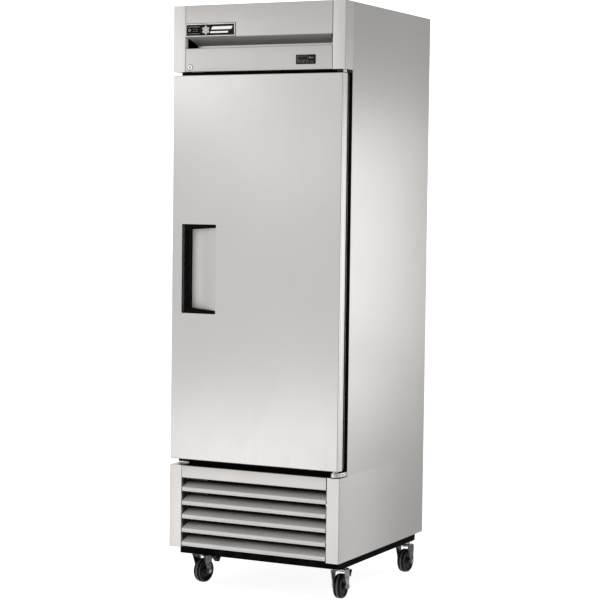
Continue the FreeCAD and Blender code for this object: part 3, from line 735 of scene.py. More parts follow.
# ------------------------------------------------------------------ header
for s, tag in ((1, "right"), (-1, "left")):
    out = fillet([(W2, Y_FACE), (W2, Y_FRONT), (W2 - POST, Y_FRONT), (W2 - POST, -352), (W2 - POST, Y_FACE)], [0, 2.6, 2.0, 0, 0], 6)
    bm = prism(out, "z", Z_HDR, Z_TOP)
    bevel_where(bm, lambda c, e: c.z > Z_TOP - 0.01 and abs(e.verts[0].co.z - e.verts[1].co.z) < 0.01, 0.8, 3)
    if s < 0:
        bm = mirrored(bm)
    o = finish_mesh("header_corner_" + tag, bm, "steel_v", "cabinet", ["header_end_caps"])
    o.data.materials.append(MAT["steel_cap"])
    o.data.materials.append(MAT["face_black"])
    o.data.materials.append(MAT["steel_flange"])
    # painted light and shade: the outer side faces get the lighter stainless copy; on the inner faces, the part behind
    # y -0.351 gets black as painted shade, the front part the lighter, almost matt copy as painted light
    for p in o.data.polygons:
        if p.normal.x * s > 0.99:
            p.material_index = 1
        elif p.normal.x * s < -0.99:
            p.material_index = 2 if p.center.y > -0.351 else 3


SEAM = 0.7


def cove_end(y, z):
    """Half length of the header's upper panel: the cove's ends are cut back along a shallow curve."""
    if z > 2000.6 or y < -369.5:
        return BX - SEAM
    c = max(0.0, min(1.0, 1 - (y + 369.5) / 58.5))
    f = math.acos(c) / (math.pi / 2)
    return BX - SEAM - (17 - SEAM) * math.sin(f * math.pi / 2)


pts = fillet([(Y_FACE - 0.5, Z_TOP), (Y_FRONT, Z_TOP), (Y_FRONT, 2001), (-311, 1974.5), (-311, 1963)], [0, 2.6, 2.2, 2.0, 0], 6)
fine = []
for a, b in zip(pts, pts[1:]):
    n = 16 if a[1] < 2001.5 and b[1] > 1966 and abs(a[0] - b[0]) > 8 else 1
    for k in range(n):
        fine.append((a[0] + (b[0] - a[0]) * k / n, a[1] + (b[1] - a[1]) * k / n))
fine.append(pts[-1])
inner = offset(fine, 1.0)
bm = bmesh.new()
rows = []
for (y, z), (yi, zi) in zip(fine, inner):
    e = cove_end(y, z)
    rows.append([bm.verts.new(c) for c in ((-e, y, z), (e, y, z), (e, yi, zi), (-e, yi, zi))])
for a, b in zip(rows, rows[1:]):
    for k in range(4):
        bm.faces.new((a[k], a[(k + 1) % 4], b[(k + 1) % 4], b[k]))
bm.faces.new(rows[0][::-1])
bm.faces.new(rows[-1])
bm = boolean(bm, boxes((-286, -236, -373, -368, 2014, 2038)))
o = finish_mesh("header_upper_sheet", bm, "steel_header_shaded", "cabinet", ["header_upper_panel"], angle=25)
o.data.materials.append(MAT["steel_cove"])
# painted shade: the cove's downward facing faces get the darker stainless copy
for p in o.data.polygons:
    if p.normal.z < -0.3 and p.center.z < 2.003:
        p.material_index = 1

pts = fillet([(-311, LOWER_TOP), (Y_FRONT, LOWER_TOP), (Y_FRONT, Z_HDR), (Y_FACE - 0.5, Z_HDR)], [0, 3.0, 2.4, 0], 6)
bm = bmesh.new()
add_strip(bm, pts, 1.0, "x", -BX + SEAM, BX - SEAM)
bm = boolean(bm, cylinder((-273, -376, 1894), (0, 1, 0), 8.6, 12))
bm = boolean(bm, boxes((155.5, 226.5, -374, -366, 1899, 1928)))
bm = boolean(bm, boxes((-283, -233, -354, -343, Z_HDR - 2, Z_HDR + 3)))
finish_mesh("header_lower_sheet", bm, "steel_header_shaded", "cabinet", ["header_lower_panel"], angle=25)

# nameplate: satin bezel on a black strip that is painted shadow round its edge, black panel, generic frost mark and two
# stripes
shade_strip = plate_xz([round_rect(-292.9, -88.6, 2001.4, 2050.6, 3.0), round_rect(-287, -95, 2008, 2044, 1.0)[::-1]], -371.7, -371.02)
finish_mesh("nameplate_shade_strip", shade_strip, "face_black", "cabinet", ["nameplate"])
bez = plate_xz([round_rect(-292, -90, 2003, 2049, 2.2), round_rect(-288.6, -93.4, 2006.6, 2045.4, 1.2)[::-1]], -374, -371.02, 0.7)
finish_mesh("nameplate_bezel", bez, "satin", "cabinet", ["nameplate"])
pan = plate_xz([round_rect(-289.2, -92.8, 2006.0, 2046.0, 1.0), round_rect(-287, -235, 2013, 2039, 0.6)[::-1]], -373.2, -371.04)
finish_mesh("nameplate_panel", pan, "black_gloss", "cabinet", ["nameplate"])
mark = bmesh.new()
cx, cz = -209.0, 2025.5
for k in range(6):
    a = math.pi / 3 * k + math.pi / 6
    u, w = Vector((math.cos(a), 0, math.sin(a))), Vector((-math.sin(a), 0, math.cos(a)))
    c = Vector((cx, 0, cz))
    segs = [(c + u * 1.2, c + u * 15.5, 1.35)]
    for t, L in ((7.0, 5.0), (11.2, 3.6)):
        for sg in (-1, 1):
            segs.append((c + u * t, c + u * (t + L * 0.62) + w * sg * L, 0.85))
    for p, q, hw in segs:
        d = (q - p).normalized()
        v = Vector((-d.z, 0, d.x)) * hw
        quad = [p - v, q - v, q + v, p + v]
        add_prism(mark, [(t.x, t.z) for t in quad], "y", -373.55, -373.15)
for x0, x1, z0, z1, sk in ((-188, -106, 2027.0, 2037.5, 7.0), (-192.5, -120, 2014.5, 2020.5, 4.0)):
    add_prism(mark, fillet([(x0, z0), (x1, z0), (x1 + sk, z1), (x0 + sk, z1)], 1.4, 3, closed=True), "y", -373.55, -373.15)
finish_mesh("nameplate_mark", mark, "mark_white", "cabinet")

rk = prism(fillet([(-283.5, -377.2), (-261, -374.6), (-238.5, -374.0), (-238.5, -366), (-283.5, -366)], [1.0, 8.0, 1.0, 0, 0], 5, closed=True), "z", 2015, 2037)
bevel_where(rk, lambda c, e: (c.z < 2015.01 or c.z > 2036.99) and abs(e.verts[0].co.z - e.verts[1].co.z) < 0.01 and c.y < -370, 0.7, 2)
finish_mesh("rocker_cap", rk, "black_plastic", "rocker_switch", ["rocker_switch"])
ring = bmesh.new()
dx, dy = 22.5, 2.6
L = math.hypot(dx, dy)
u = Vector((dx / L, dy / L, 0))
nrm = Vector((dy / L, -dx / L, 0))
c = Vector((-274.5, -377.2 + 2.6 * (9.0 / 22.5), 2026)) + nrm * 0.02


def face_ring(bm, c, u, n, outer, inner, t):
    v = Vector((0, 0, 1))
    k = len(outer)
    A = [bm.verts.new(c + u * p[0] + v * p[1] + n * t) for p in outer]
    B = [bm.verts.new(c + u * p[0] + v * p[1] + n * t) for p in inner]
    C = [bm.verts.new(c + u * p[0] + v * p[1]) for p in outer]
    D = [bm.verts.new(c + u * p[0] + v * p[1]) for p in inner]
    for i in range(k):
        j = (i + 1) % k
        bm.faces.new((A[i], A[j], B[j], B[i]))
        bm.faces.new((A[j], A[i], C[i], C[j]))
        bm.faces.new((B[i], B[j], D[j], D[i]))
        bm.faces.new((C[i], D[i], D[j], C[j]))


face_ring(ring, c, u, nrm, circle(0, 0, 4.4), circle(0, 0, 3.3), 0.12)
finish_mesh("rocker_ring_mark", ring, "print_white", "rocker_switch")
ring = bmesh.new()
c2 = Vector((-253.5, -374.38, 2026))
fr = [(-10.5, -4.5), (10.5, -4.5), (10.5, 4.5), (-10.5, 4.5)]
face_ring(ring, c2, Vector((1, 0.02, 0)).normalized(), Vector((0.02, -1, 0)).normalized(), fr, [(p[0] * 0.93, p[1] * 0.84) for p in fr], 0.1)
finish_mesh("rocker_frame_mark", ring, "print_grey", "rocker_switch")

# temperature display
dh = plate_xz([round_rect(153, 229, 1897, 1930, 2.0)], -373, -370.9, 0.6)
join(dh, boxes((156.2, 225.8, -371, -335, 1899.7, 1927.3)))
finish_mesh("display_bezel", dh, "black_plastic", "cabinet", ["display_housing"])
dl = plate_xz([round_rect(156, 226, 1900, 1927, 1.2)], -373.8, -372.98, 0.3)
finish_mesh("display_window", dl, "display", "cabinet", ["display_lens"])
marks = bmesh.new()
for seg in ((159, 200, 1924.6, 1925.2), (159, 200, 1909.6, 1910.2), (159, 159.6, 1910.2, 1924.6), (199.4, 200, 1910.2, 1924.6)):
    add_box(marks, seg[0], seg[1], -373.95, -373.78, seg[2], seg[3])
for x, z, w, h in ((205, 1917, 2.2, 5.0), (208.6, 1917, 2.2, 5.0), (212.2, 1918, 6.0, 1.6), (220, 1917, 2.0, 4.2)):
    add_box(marks, x, x + w, -373.95, -373.78, z, z + h)
finish_mesh("display_marks", marks, "print_grey", "cabinet")
keys = bmesh.new()
for k in range(4):
    add_box(keys, 160.5 + 16.4 * k, 172.5 + 16.4 * k, -374.3, -373.7, 1902.2, 1906.8, 0.25)
finish_mesh("display_keys", keys, "key_grey", "cabinet")

# lock
# painted shadow: a black ring behind the lock bezel, a sealing ring that also stands for the shadow line round the
# bezel
lb = bmesh.new()
add_lathe(lb, [(8.6, 0), (11.3, 0), (11.5, 0.25), (11.5, 0.42), (8.6, 0.42), (8.6, 0)], (-273, -371.45, 1894), (0, 1, 0), 48)
finish_mesh("lock_seal_and_shade_ring", lb, "face_black", "cabinet", ["lock_barrel"])
lb = bmesh.new()
add_lathe(lb, [(6.08, 0.4), (6.6, 0), (9.3, 0), (10.2, 0.5), (10.5, 1.1), (10.5, 1.58), (8.5, 1.6), (8.5, 19), (6.08, 19), (6.08, 0.4)], (-273, -372.6, 1894), (0, 1, 0), 48)
finish_mesh("lock_bezel", lb, "chrome", "cabinet", ["lock_barrel"])
lp = bmesh.new()
add_lathe(lp, [(0, 0), (5.4, 0), (6.0, 0.6), (6.0, 22.4), (0, 22.4)], (-273, -373, 1894), (0, 1, 0), 40)
lp = boolean(lp, boxes((-274.3, -271.7, -374, -364, 1889.8, 1898.2)))
lp = boolean(lp, cylinder((-273, -374, 1894), (0, 1, 0), 2.3, 9, 24))
cam_b = prism(fillet([(-279, 1888), (-235, 1888), (-235, 1900), (-279, 1900)], 5.5, 6, closed=True), "y", -350.5, -347.5)
lp = boolean(lp, cam_b, "UNION")
finish_mesh("lock_core", lp, "zinc", "lock_plug", ["lock_plug"])

# door switch plunger under the header
ds = bmesh.new()
add_lathe(ds, [(0, 0), (2.2, 0), (3.2, 1.0), (3.2, 3.4), (5.2, 3.6), (6.4, 4.2), (6.4, 5.4), (0, 5.4)], (88, -352, Z_HDR - 5.4), (0, 0, 1), 28)
finish_mesh("door_switch_plunger", ds, "black_plastic", "cabinet")

# ------------------------------------------------------------------ lower front
pts = fillet([(-358, 409), (Y_FRONT, 409), (Y_FRONT, Z_SEC), (-362, Z_SEC)], [0, 2.2, 2.2, 0], 6)
bm = bmesh.new()
add_strip(bm, pts, -1.0, "x", -BX + SEAM, BX - 2.0)
finish_mesh("grille_band", bm, "steel_band_shaded", "cabinet", ["grille_top_band"], angle=25)
# painted shade: black strips behind the grille band along the section line and at its right end, standing for the shade
# in those gaps
shade_strip = bmesh.new()
add_box(shade_strip, -BX + 0.3, BX - 0.3, Y_FACE - 3.2, Y_FACE - 0.1, 452.05, 455.0, 0.5)
add_box(shade_strip, BX - 4.2, BX - 2.1, -370.2, -357.4, 410.6, 449.7, 0.4)
finish_mesh("grille_shade_strips", shade_strip, "face_black", "cabinet")
for k in range(5):
    zb = Z_LOW + 5.0 + 50.2 * k
    zc, r = zb + 12.0, 6.0
    sl = math.atan2(19.0, 55.0)
    pts = [(-365.5, zb + 1.4), (-367.5, zb + 0.8)]
    for j in range(6):
        a = -math.pi / 2 - (math.pi / 2) * j / 5
        pts.append((-368.2 + 2.8 * math.cos(a), zb + 3.6 + 2.8 * math.sin(a)))
    pts += [(-371.0, zb + 5.3), (-369.9, zb + 5.8), (-369.9, zb + 7.0), (-371.0, zb + 7.5)]
    for j in range(13):
        a = math.pi + (math.pi / 2 + sl - math.pi) * j / 12
        pts.append((-371.0 + r + r * math.cos(a), zc + r * math.sin(a)))
    x, z = pts[-1]
    pts.append((x + 55 * math.cos(sl), z + 55 * math.sin(sl)))
    bm = bmesh.new()
    add_strip(bm, pts, -1.2, "x", -BX + 2.0, BX - 2.0)
    o = finish_mesh("louver_%d" % (k + 1), bm, "steel_louver", "cabinet", ["grille_louvers"], angle=28)
    # painted light and shade: the tread faces behind the lip get a lighter copy of the blade steel that goes near black
    # towards the back edge
    o.data.materials.append(MAT["steel_tread"])
    for p in o.data.polygons:
        if p.center.y > -0.3665 and p.center.z * 1000 > zb + 16:
            p.material_index = 1

# ------------------------------------------------------------------ hinge plates
PX, PY = 321.0, -363.0
out = []
for k in range(13):
    a = math.pi + math.pi * k / 12
    out.append((PX + 15.5 * math.cos(a), PY + 15.5 * math.sin(a)))
body = fillet([(W2, -336), (W2, Y_FACE), (300, Y_FACE), (300, -332)], [2, 1.5, 1.5, 10], 5, closed=False)
plan = out + body
seat = prism(plan, "z", Z_SEC + 0.05, Z_SEC + 2.6)
finish_mesh("hinge_seat_bottom", seat, "face_black", "cabinet", ["hinge_brackets"], angle=45)
inner = [(PX + (x - PX) * 0.97, y + 0.9 if y < -345 else y) for x, y in plan]
bm = prism(inner, "z", Z_SEC + 2.6, 471.5)
bevel_where(bm, lambda c, e: (c.z < Z_SEC + 2.7 or c.z > 471.4) and abs(e.verts[0].co.z - e.verts[1].co.z) < 0.01, 3.4, 5)
c1 = bmesh.new()
add_lathe(c1, [(0, 0), (12.6, 0), (12.6, 1.4), (11.0, 2.2), (9.4, 2.3), (9.2, 5.2), (8.4, 6.4), (5.0, 6.5), (5.0, 29), (4.0, 30.8), (0, 30.8)], (PX, PY, 471), (0, 0, 1), 40)
bm = boolean(bm, c1, "UNION")
finish_mesh("hinge_plate_bottom", bm, "chrome_dark", "cabinet", ["hinge_brackets"], angle=45)
out = []
for k in range(13):
    a = math.pi + math.pi * k / 12
    out.append((PX + 11.5 * math.cos(a), PY + 11.5 * math.sin(a)))
plan = out + fillet([(W2, -336), (W2, Y_FACE), (312, Y_FACE)], [2, 1, 1], 4)
bm = prism(plan, "z", 1868.5, Z_HDR - 0.1)
bevel_where(bm, lambda c, e: (c.z < 1868.6 or c.z > Z_HDR - 0.2) and abs(e.verts[0].co.z - e.verts[1].co.z) < 0.01, 1.6, 3)
c1 = bmesh.new()
add_lathe(c1, [(0, 0), (4.0, 0), (5.0, 1.5), (5.0, 24.6), (8.6, 24.7), (9, 25.3), (9, 29), (0, 29)], (PX, PY, 1841), (0, 0, 1), 40)
bm = boolean(bm, c1, "UNION")
finish_mesh("hinge_plate_top", bm, "black_steel", "cabinet", ["hinge_brackets"], angle=45)
bm = bmesh.new()
add_lathe(bm, [(0, 0), (6.4, 0), (7.8, 1.2), (8.2, 2.4), (8.2, Z_HDR - 0.15 - 1867.2 - 1.6), (7.4, Z_HDR - 0.15 - 1867.2), (0, Z_HDR - 0.15 - 1867.2)], (333.6, -356, 1867.2), (0, 0, 1), 36)
finish_mesh("hinge_boss_top", bm, "cast", "cabinet", ["hinge_brackets"], angle=45)
bm = bmesh.new()
add_box(bm, -W2 + 1, -297, -313, Y_FACE, Z_SEC + 0.05, 460, 0.9, 3)
for x in (-332, -307):
    add_lathe(bm, [(0, 0), (2.6, 0.1), (3.4, 0.7), (3.4, 1.2), (0, 1.2)], (x, -314.2, 457.2), (0, 1, 0), 20)
finish_mesh("hinge_blanking_plate", bm, "cast", "cabinet", ["hinge_brackets"])

# ------------------------------------------------------------------ door
HX0, HXB, HX1, HZ0, HZ1 = -296.5, -272.0, -156.0, 1010.0, 1332.0
bm = bmesh.new()
add_box(bm, -DX, DX, DY0, DY1, DZ0, DZ1)
bevel_where(bm, lambda c, e: c.y < DY0 + 0.01, 3.2, 5)
bevel_where(bm, lambda c, e: c.y > DY1 - 0.01, 0.9, 3)
cut = prism([(HX0 + 0.6, DY0 - 4), (HX1 - 0.4, DY0 - 4), (HX1 - 0.4, -375.9), (HXB + 1, -342.2), (HX0 + 0.6, -342.2)], "z", HZ0 + 0.6, HZ1 - 0.6)
bm = boolean(bm, cut)
bm = boolean(bm, cylinder((PX, PY, DZ0 - 3), (0, 0, 1), 12.05, 33.2))
bm = boolean(bm, cylinder((PX, PY, DZ1 - 30.2), (0, 0, 1), 12.05, 33.2))
bm = boolean(bm, boxes((-283, -240, -354, -343, 1850, DZ1 + 3)))
for s in (1, -1):
    g = prism([(s * (DX + 1), -372.0), (s * (DX + 1), -364.5), (s * (DX - 0.9), -366.3), (s * (DX - 0.9), -370.2)], "z", DZ0 - 2, DZ1 + 2)
    bm = boolean(bm, g)
o = finish_mesh("door_pan", bm, "steel_v", "door", ["door_outer_skin", "door_insulation"], angle=30)
# painted light: the door's side returns get a lighter copy of the door stainless
o.data.materials.append(MAT["steel_return"])
for p in o.data.polygons:
    if p.center.y > -0.3757 and abs(p.center.x) * 1000 > DX - 1.5:
        p.material_index = 1

bar = prism(fillet([(HX0, -379), (-284.5, -379), (-274.0, -373.5), (-272, -366), (-272, -343.2), (HX0, -343.2)], [2.2, 5, 4, 2, 0, 0], 5, closed=True), "z", HZ0 + 3, HZ1 - 3)
arm = plate_xz([fillet([(HX0, HZ1), (HX0, HZ0), (HX1, HZ0), (HX1, HZ0 + 12), (HXB, HZ0 + 19), (HXB, HZ1 - 19), (HX1, HZ1 - 12), (HX1, HZ1)],
                       [7, 7, 6, 6, 5, 5, 6, 6], 6, closed=True)], -379, -343.2, 1.5)
wed = prism([(HX0 - 2, -384), (HX1 + 2, -384), (HX1 + 2, -376.1), (HX1, -376.7), (HXB, -343.2), (HX0 - 2, -343.2)], "z", HZ0 - 2, HZ1 + 2)
arm = boolean(arm, wed, "INTERSECT")
hole = prism([(-286, -390), (-140, -390), (-140, -340), (-268, -340), (-286, -350)], "z", HZ0 + 22, HZ1 - 22)
arm = boolean(arm, hole)
bm = boolean(arm, bar, "UNION")
finish_mesh("handle_bezel", bm, "handle_black", "door", ["handle_grip"], angle=35)
pts = fillet([(HX0 + 1, -343.1), (HXB + 1, -343.1), (HX1, -376.9)], [0, 9, 0], 8)
bm = bmesh.new()
add_strip(bm, pts, 0.8, "z", HZ0 + 0.5, HZ1 - 0.5)
# painted light: the pocket sheet is coloured lighter beside the grip, offsetting the shadow the grip casts in the
# pocket
finish_mesh("handle_pocket_sheet", bm, "steel_pocket_lit_edge", "door", ["handle_pocket"], angle=40)

prof = fillet([(0, -336), (40, -336), (40, -322), (0, -322)], [0, 1.2, 3.4, 0], 4, closed=True)
bm = bmesh.new()
add_frame_sweep(bm, prof, -296, 296, DZ0 + 41, DZ1 - 41)
finish_mesh("door_edge_extrusion", bm, "black_plastic", "door", ["door_edge_frame"])
prof = fillet([(0, -321), (20, -321), (20, -318.6), (16.6, -317.7), (19.6, -315.9), (19.6, -309), (0.4, -309), (0.4, -315.9), (3.4, -317.7), (0, -318.6)],
              [0, 0, 0.5, 0.6, 0.8, 2.6, 2.6, 0.8, 0.6, 0.5], 3, closed=True)
bm = bmesh.new()
add_frame_sweep(bm, prof, -298, 298, 508, 1834)
finish_mesh("door_gasket_bellows", bm, "gasket", "door", ["door_gasket"])
bm = plate_xz([round_rect(-DX + 2, DX - 2, DZ0 + 2, DZ1 - 2, 5)], -322, -321)
for x0, x1, z0, z1, y in ((-284, 284, 522, 1820, -317.5),):
    r1, r0 = round_rect(x0, x1, z0, z1, 22, 8), round_rect(x0 - 9, x1 + 9, z0 - 9, z1 + 9, 30, 8)
    A = [bm.verts.new((p[0], -321.2, p[1])) for p in r0]
    B = [bm.verts.new((p[0], y, p[1])) for p in r1]
    for i in range(len(A)):
        j = (i + 1) % len(A)
        bm.faces.new((A[i], A[j], B[j], B[i]))
    bm.faces.new(B)
    bm.faces.new(A[::-1])
finish_mesh("door_liner_panel", bm, "liner", "door", ["door_inner_liner"], angle=25)

# ------------------------------------------------------------------ shelves, as round wire
for i, zs in enumerate((830.0, 1150.0, 1470.0)):
    bm = bmesh.new()
    loop = round_rect(-278.5, 278.5, -211.5, 293.5, 16, 6)
    add_sweep_loop(bm, [(x, y, zs + 3.5) for x, y in loop], 3.45, 10)
    for k in range(1, 20):
        x = -282 + 564 * k / 20
        add_sweep(bm, [(x, -211.5, zs + 5.4), (x, 293.5, zs + 5.4)], 1.6, 8)
    for y in (-60, 45, 150):
        add_sweep(bm, [(-278, y, zs + 2.0), (278, y, zs + 2.0)], 2.0, 8)
    finish_mesh("shelf_%d" % (i + 1), bm, "wire", "cabinet", ["wire_shelves"], angle=60)

# evaporator fan guard
bm = bmesh.new()
for r in (18, 34, 50, 66, 82, 94):
    add_sweep_loop(bm, [(x, y, 1848.4) for x, y in circle(0, -110, r, 40)], 1.2, 6)
for k in range(4):
    a = math.pi / 4 + math.pi / 2 * k
    add_sweep(bm, [(18 * math.cos(a), -110 + 18 * math.sin(a), 1847.0), (98 * math.cos(a), -110 + 98 * math.sin(a), 1847.0)], 1.4, 6)
finish_mesh("evaporator_fan_guard", bm, "wire", "cabinet", angle=60)

# ------------------------------------------------------------------ casters
CASTERS = {"front_left": (-282.9, -232.3, -10.0), "front_right": (284.4, -232.1, 5.0), "rear_left": (-300.4, 317.5, 14.0), "rear_right": (296.9, 318.0, -3.0)}
WR, TRAIL = 44.5, 10.0


def placed(bm, cx, cy, turn):
    m = Matrix.Translation((cx, cy, 0)) @ Matrix.Rotation(math.radians(turn), 4, "Z")
    bmesh.ops.transform(bm, matrix=m, verts=bm.verts)
    return bm


def hexagon(bm, origin, axis, r, h):
    add_lathe(bm, [(0, 0), (r, 0), (r, h - 0.6), (r * 0.86, h), (0, h)], origin, axis, 6)


for tag, (cx, cy, turn) in CASTERS.items():
    # tyre
    half = [(30.0, 11.2), (30.6, 13.6), (32.4, 14.6), (34.2, 14.2), (35.4, 15.6), (37.6, 16.0), (39.6, 15.3), (40.6, 14.2), (42.2, 12.8), (43.5, 10.4), (44.2, 7.4), (44.5, 3.2)]
    prof = [(r, -x) for r, x in half] + [(r, x) for r, x in half[::-1]] + [(30.0, -11.2)]
    bm = bmesh.new()
    add_lathe(bm, prof, (0, TRAIL, WR), (1, 0, 0), 72)
    # painted highlight: faces on the tread crown and a ring on each shoulder get lighter rubber, standing for the
    # highlights there; the crown band also stands for a running surface scuffed lighter by use
    for f in bm.faces:
        c = f.calc_center_median()
        r = math.hypot(c.y - TRAIL, c.z - WR)
        if r > 43.9 and abs(c.x) < 3 or 39.9 < r < 41.6 and 12.6 < abs(c.x) < 14.6:
            f.material_index = 1
    o = finish_mesh("tyre_" + tag, placed(bm, cx, cy, turn), "tyre", "wheel_" + tag, ["caster_wheel_" + tag], angle=40)
    o.data.materials.append(MAT["tread_worn"])
    # painted light and shade: the front right fork gets the lighter zinc copy, the others the darker copy as shade
    fork_mat = "zinc_lit" if tag == "front_right" else "zinc_shaded"
    # core
    half = [(5.1, 17.4), (9.6, 17.4), (10.4, 16.8), (10.8, 13.4), (13.4, 12.9), (14.4, 10.6), (18, 9.4), (27.0, 9.6), (28.6, 10.8), (30.1, 11.3)]
    prof = [(r, -x) for r, x in half] + [(r, x) for r, x in half[::-1]] + [(5.1, -17.4)]
    bm = bmesh.new()
    add_lathe(bm, prof, (0, TRAIL, WR), (1, 0, 0), 60)
    finish_mesh("core_" + tag, placed(bm, cx, cy, turn), "wheel_core", "wheel_" + tag, ["caster_wheel_" + tag], angle=40)
    # stamped fork: one bent strip, its legs cut to a tapering outline
    u_path = fillet([(-28, 24), (-28, 109), (28, 109), (28, 24)], [0, 6.0, 6.0, 0], 7)
    ub = bmesh.new()
    add_strip(ub, u_path, -3.0, "y", -27, 28)
    plan = fillet([(-24, 112), (-24, 103), (-15, 84), (-1.5, 47), (-1.8, 41), (1.5, 36), (6.5, 33), (11, 32.3), (16, 33.6), (20, 37.4), (22, 44.5), (22, 64), (24, 88), (24.5, 103), (24.5, 112)],
                  [0, 6, 14, 5, 4, 4, 4, 4, 4, 4, 5, 8, 10, 5, 0], 4, closed=True)
    ub = boolean(ub, prism(plan, "x", -32, 32), "INTERSECT")
    cr = bmesh.new()
    add_lathe(cr, [(6.2, 105.2), (19.0, 105.2), (19.0, 108.6), (17.2, 109.5), (15.0, 109.55), (12.5, 109.0), (6.2, 109.0), (6.2, 105.2)], (0, 0, 0), (0, 0, 1), 48)
    ub = boolean(ub, cylinder((0, 0, 100), (0, 0, 1), 18.9, 12, 48))
    ub = boolean(ub, cr, "UNION")
    ub = boolean(ub, cylinder((-32, TRAIL, WR), (1, 0, 0), 5.05, 64, 24))
    if tag.startswith("front"):
        ub = boolean(ub, cylinder((-32, 18, 97), (1, 0, 0), 3.46, 64, 24))
    finish_mesh("fork_" + tag, placed(ub, cx, cy, turn), fork_mat, "fork_" + tag, ["caster_fork_" + tag], angle=32, bevel=0.5, seg=2)
    ax = bmesh.new()
    add_lathe(ax, [(0, -33.6), (3.4, -33.6), (4.2, -32.9), (4.2, -32), (5.0, -32), (5.0, 32), (4.2, 32), (4.2, 32.9), (3.4, 33.6), (0, 33.6)], (0, TRAIL, WR), (1, 0, 0), 24)
    hexagon(ax, (28.1, TRAIL, WR), (1, 0, 0), 8, 4.4)
    hexagon(ax, (-28.1, TRAIL, WR), (-1, 0, 0), 8, 4.4)
    for sg in (-1, 1):
        add_lathe(ax, [(5.0, 18.2), (9.1, 18.2), (9.5, 18.7), (9.5, 20.6), (7.6, 21.0), (7.6, 22.2), (9.5, 22.6), (9.5, 24.4), (9.2, 24.8), (5.0, 24.8)], (0, TRAIL, WR), (sg, 0, 0), 32)
    finish_mesh("axle_" + tag, placed(ax, cx, cy, turn), "zinc", "fork_" + tag, ["caster_fork_" + tag], angle=25)
    # swivel race and top plate
    pl = plate_xy([round_rect(-25, 25, -31, 31, 4)], 119, 122, 0.5)
    add_lathe(pl, [(0, 109.75), (16.5, 109.75), (19.6, 110.4), (21.2, 111.8), (21.3, 113.6), (19.6, 115.0), (19.4, 116.0), (21.2, 117.2), (21.5, 119.1), (0, 119.1)], (0, 0, 0), (0, 0, 1), 48)
    add_lathe(pl, [(0, 99), (8.6, 99), (10, 100.4), (10, 103.6), (9, 104.4), (6, 104.4), (6, 110), (0, 110)], (0, 0, 0), (0, 0, 1), 32)
    finish_mesh("swivel_plate_" + tag, placed(pl, cx, cy, 0), "zinc", "cabinet", ["caster_plates"], angle=32)
    bo = bmesh.new()
    for bx in (-14.5, 14.5):
        for by in (-24.5, 24.5):
            hexagon(bo, (bx, by, 119), (0, 0, -1), 6.4, 4)
            add_lathe(bo, [(0, 119), (4, 119), (4, 132), (0, 132)], (bx, by, 0), (0, 0, 1), 16)
            hexagon(bo, (bx, by, 125), (0, 0, 1), 6.4, 5)
    finish_mesh("bolts_" + tag, placed(bo, cx, cy, 0), "zinc", "cabinet", ["caster_bolts"], angle=25)
    if tag.startswith("front"):
        out = fillet([(13, 94), (19, 95), (62, 86.5), (86, 64), (90, 65), (104, 86), (99.5, 89), (86, 72), (66, 91), (20, 100.5), (13, 100.5)],
                     [2, 4, 8, 3, 3, 1.6, 1.6, 6, 10, 6, 2], 4, closed=True)
        pe = prism(out, "x", -9, 9)
        pe = boolean(pe, cylinder((-27.8, 18, 97), (1, 0, 0), 3.4, 55.6, 24), "UNION")
        for k in range(4):
            t = 0.2 + 0.2 * k
            y, z = 90 + 14 * t, 65 + 21 * t
            nv = Vector((0, 21, -14)).normalized()
            c = Vector((0, y, z)) + nv * 0.1
            pe = boolean(pe, prism([(c.y - 0.9, c.z - 0.9), (c.y + 0.9, c.z - 0.9), (c.y + 0.9, c.z + 0.9), (c.y - 0.9, c.z + 0.9)], "x", -8, 8))
        finish_mesh("brake_lever_" + tag, placed(pe, cx, cy, turn), "black_steel", "pedal_" + tag, ["brake_pedal_" + tag], angle=35)

# ------------------------------------------------------------------ materials of the CAD nodes that stay
# face_frame gets the black trim material as painted shade, standing for the shade seen in the gaps above and below the
# door
KEEP = {
    "top_panel": "galv", "back_panel": "galv", "cabinet_insulation": "foam", "inner_liner": "liner", "face_frame": "face_black",
    "cabinet_bottom_panel": "galv", "base_frame": "base_black", "grille_frame": "black_steel", "hinge_bushes": "black_plastic",
    "shelf_pilasters": "liner", "shelf_clips": "zinc", "evaporator_cover": "liner", "evaporator_coil": "fin",
    "evaporator_fan_motor": "black_steel", "evaporator_fan_blade": "white_plastic", "interior_lamp": "lamp", "compressor": "black_steel",
    "condenser_coil": "fin_dark", "condenser_shroud": "black_steel", "condenser_fan_motor": "black_steel",
    "condenser_fan_blade": "black_plastic", "refrigerant_tubes": "copper", "condensate_pan": "black_plastic",
    "electrical_box": "galv", "panel_screws": "zinc",
}
for name, mat in KEEP.items():
    o = NODES[name]
    if not o.material_slots:
        o.data.materials.append(None)
    for sl in o.material_slots:
        sl.link = "OBJECT"
        sl.material = MAT[mat]

# ------------------------------------------------------------------ studio
me = bpy.data.meshes.new("studio_floor")
bm = bmesh.new()
add_faces(bm, [(-40, -40, 0), (40, -40, 0), (40, 40, 0), (-40, 40, 0)], [(0, 1, 2, 3)])
bm.to_mesh(me)
bm.free()
floor = bpy.data.objects.new("studio_floor", me)
scene.collection.objects.link(floor)
M = Mat("studio_floor_white")
M.set(color=M.mix(M.noise(0.6), (0.48, 0.48, 0.48), (0.52, 0.52, 0.52)), rough=0.9, emit=(1.0, 1.0, 1.0), emit_s=FLOOR_GLOW, spec=0.1)
me.materials.append(M.m)
floor.visible_glossy = False

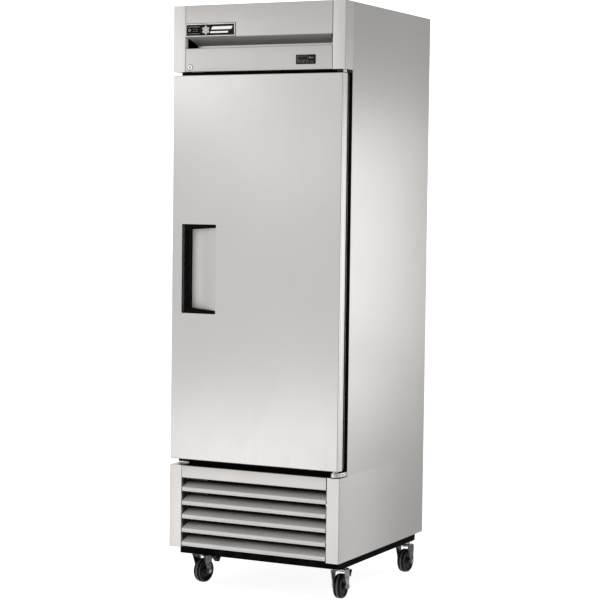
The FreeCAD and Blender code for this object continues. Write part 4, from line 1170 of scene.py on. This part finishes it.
me = bpy.data.meshes.new("studio_wall")
bm = bmesh.new()
n = 96
ring = [(39.0 * math.cos(2 * math.pi * k / n), 39.0 * math.sin(2 * math.pi * k / n)) for k in range(n)]
add_faces(bm, [(x, y, -0.5) for x, y in ring] + [(x, y, 39.0) for x, y in ring], [(k, (k + 1) % n, n + (k + 1) % n, n + k) for k in range(n)])
bm.to_mesh(me)
bm.free()
wall = bpy.data.objects.new("studio_wall", me)
scene.collection.objects.link(wall)
M = Mat("studio_wall_white")
M.set(color=M.mix(M.noise(0.6), (0.48, 0.48, 0.48), (0.52, 0.52, 0.52)), rough=0.9, emit=(1.0, 1.0, 1.0), emit_s=1.0, spec=0.0)
M.m.cycles.emission_sampling = "NONE"
me.materials.append(M.m)
wall.visible_diffuse = wall.visible_glossy = wall.visible_transmission = wall.visible_shadow = wall.visible_volume_scatter = False

world = bpy.data.worlds.new("studio")
scene.world = world
world.use_nodes = True
wt = world.node_tree
wt.nodes.clear()


def wn(kind, **kw):
    n = wt.nodes.new(kind)
    for k, v in kw.items():
        setattr(n, k, v)
    return n


wout, wbg = wn("ShaderNodeOutputWorld"), wn("ShaderNodeBackground")
wt.links.new(wbg.outputs[0], wout.inputs[0])
wtc = wn("ShaderNodeTexCoord")


def wdot(vec):
    n = wn("ShaderNodeVectorMath", operation="DOT_PRODUCT")
    wt.links.new(wtc.outputs["Generated"], n.inputs[0])
    n.inputs[1].default_value = Vector(vec).normalized()
    return n.outputs["Value"]


def wmap(v, a, b, c, d):
    n = wn("ShaderNodeMapRange", interpolation_type="SMOOTHSTEP")
    wt.links.new(v, n.inputs["Value"])
    for key, val in (("From Min", a), ("From Max", b), ("To Min", c), ("To Max", d)):
        n.inputs[key].default_value = val
    return n.outputs[0]


def wop(op, a, b):
    n = wn("ShaderNodeMath", operation=op)
    for i, v in enumerate((a, b)):
        if isinstance(v, (int, float)):
            n.inputs[i].default_value = v
        else:
            wt.links.new(v, n.inputs[i])
    return n.outputs[0]


total = None
for vec, a, b, c in WORLD_LOBES:
    t = wmap(wdot(vec), a, b, 0.0, c)
    total = t if total is None else wop("ADD", total, t)
total = wop("ADD", total, WORLD_BASE)
wt.links.new(total, wbg.inputs["Strength"])
wbg.inputs["Color"].default_value = (1.0, 0.981, 0.972, 1.0)


def card(name, loc, target, w, h, radiance, color=(1.0, 0.986, 0.984), spread=180):
    ld = bpy.data.lights.new(name, "AREA")
    ld.shape = "RECTANGLE"
    ld.size, ld.size_y = w, h
    ld.energy = radiance * w * h * math.pi
    ld.color = color
    ld.spread = math.radians(spread)
    o = bpy.data.objects.new(name, ld)
    scene.collection.objects.link(o)
    d = Vector(target) - Vector(loc)
    o.location = loc
    o.rotation_euler = d.to_track_quat("-Z", "Y").to_euler()
    o.visible_camera = False
    return o


for row in CARDS:
    card(*row)

scene.view_settings.view_transform = "Standard"
scene.view_settings.look = "None"
scene.view_settings.exposure = 0.0
scene.view_settings.gamma = 1.0
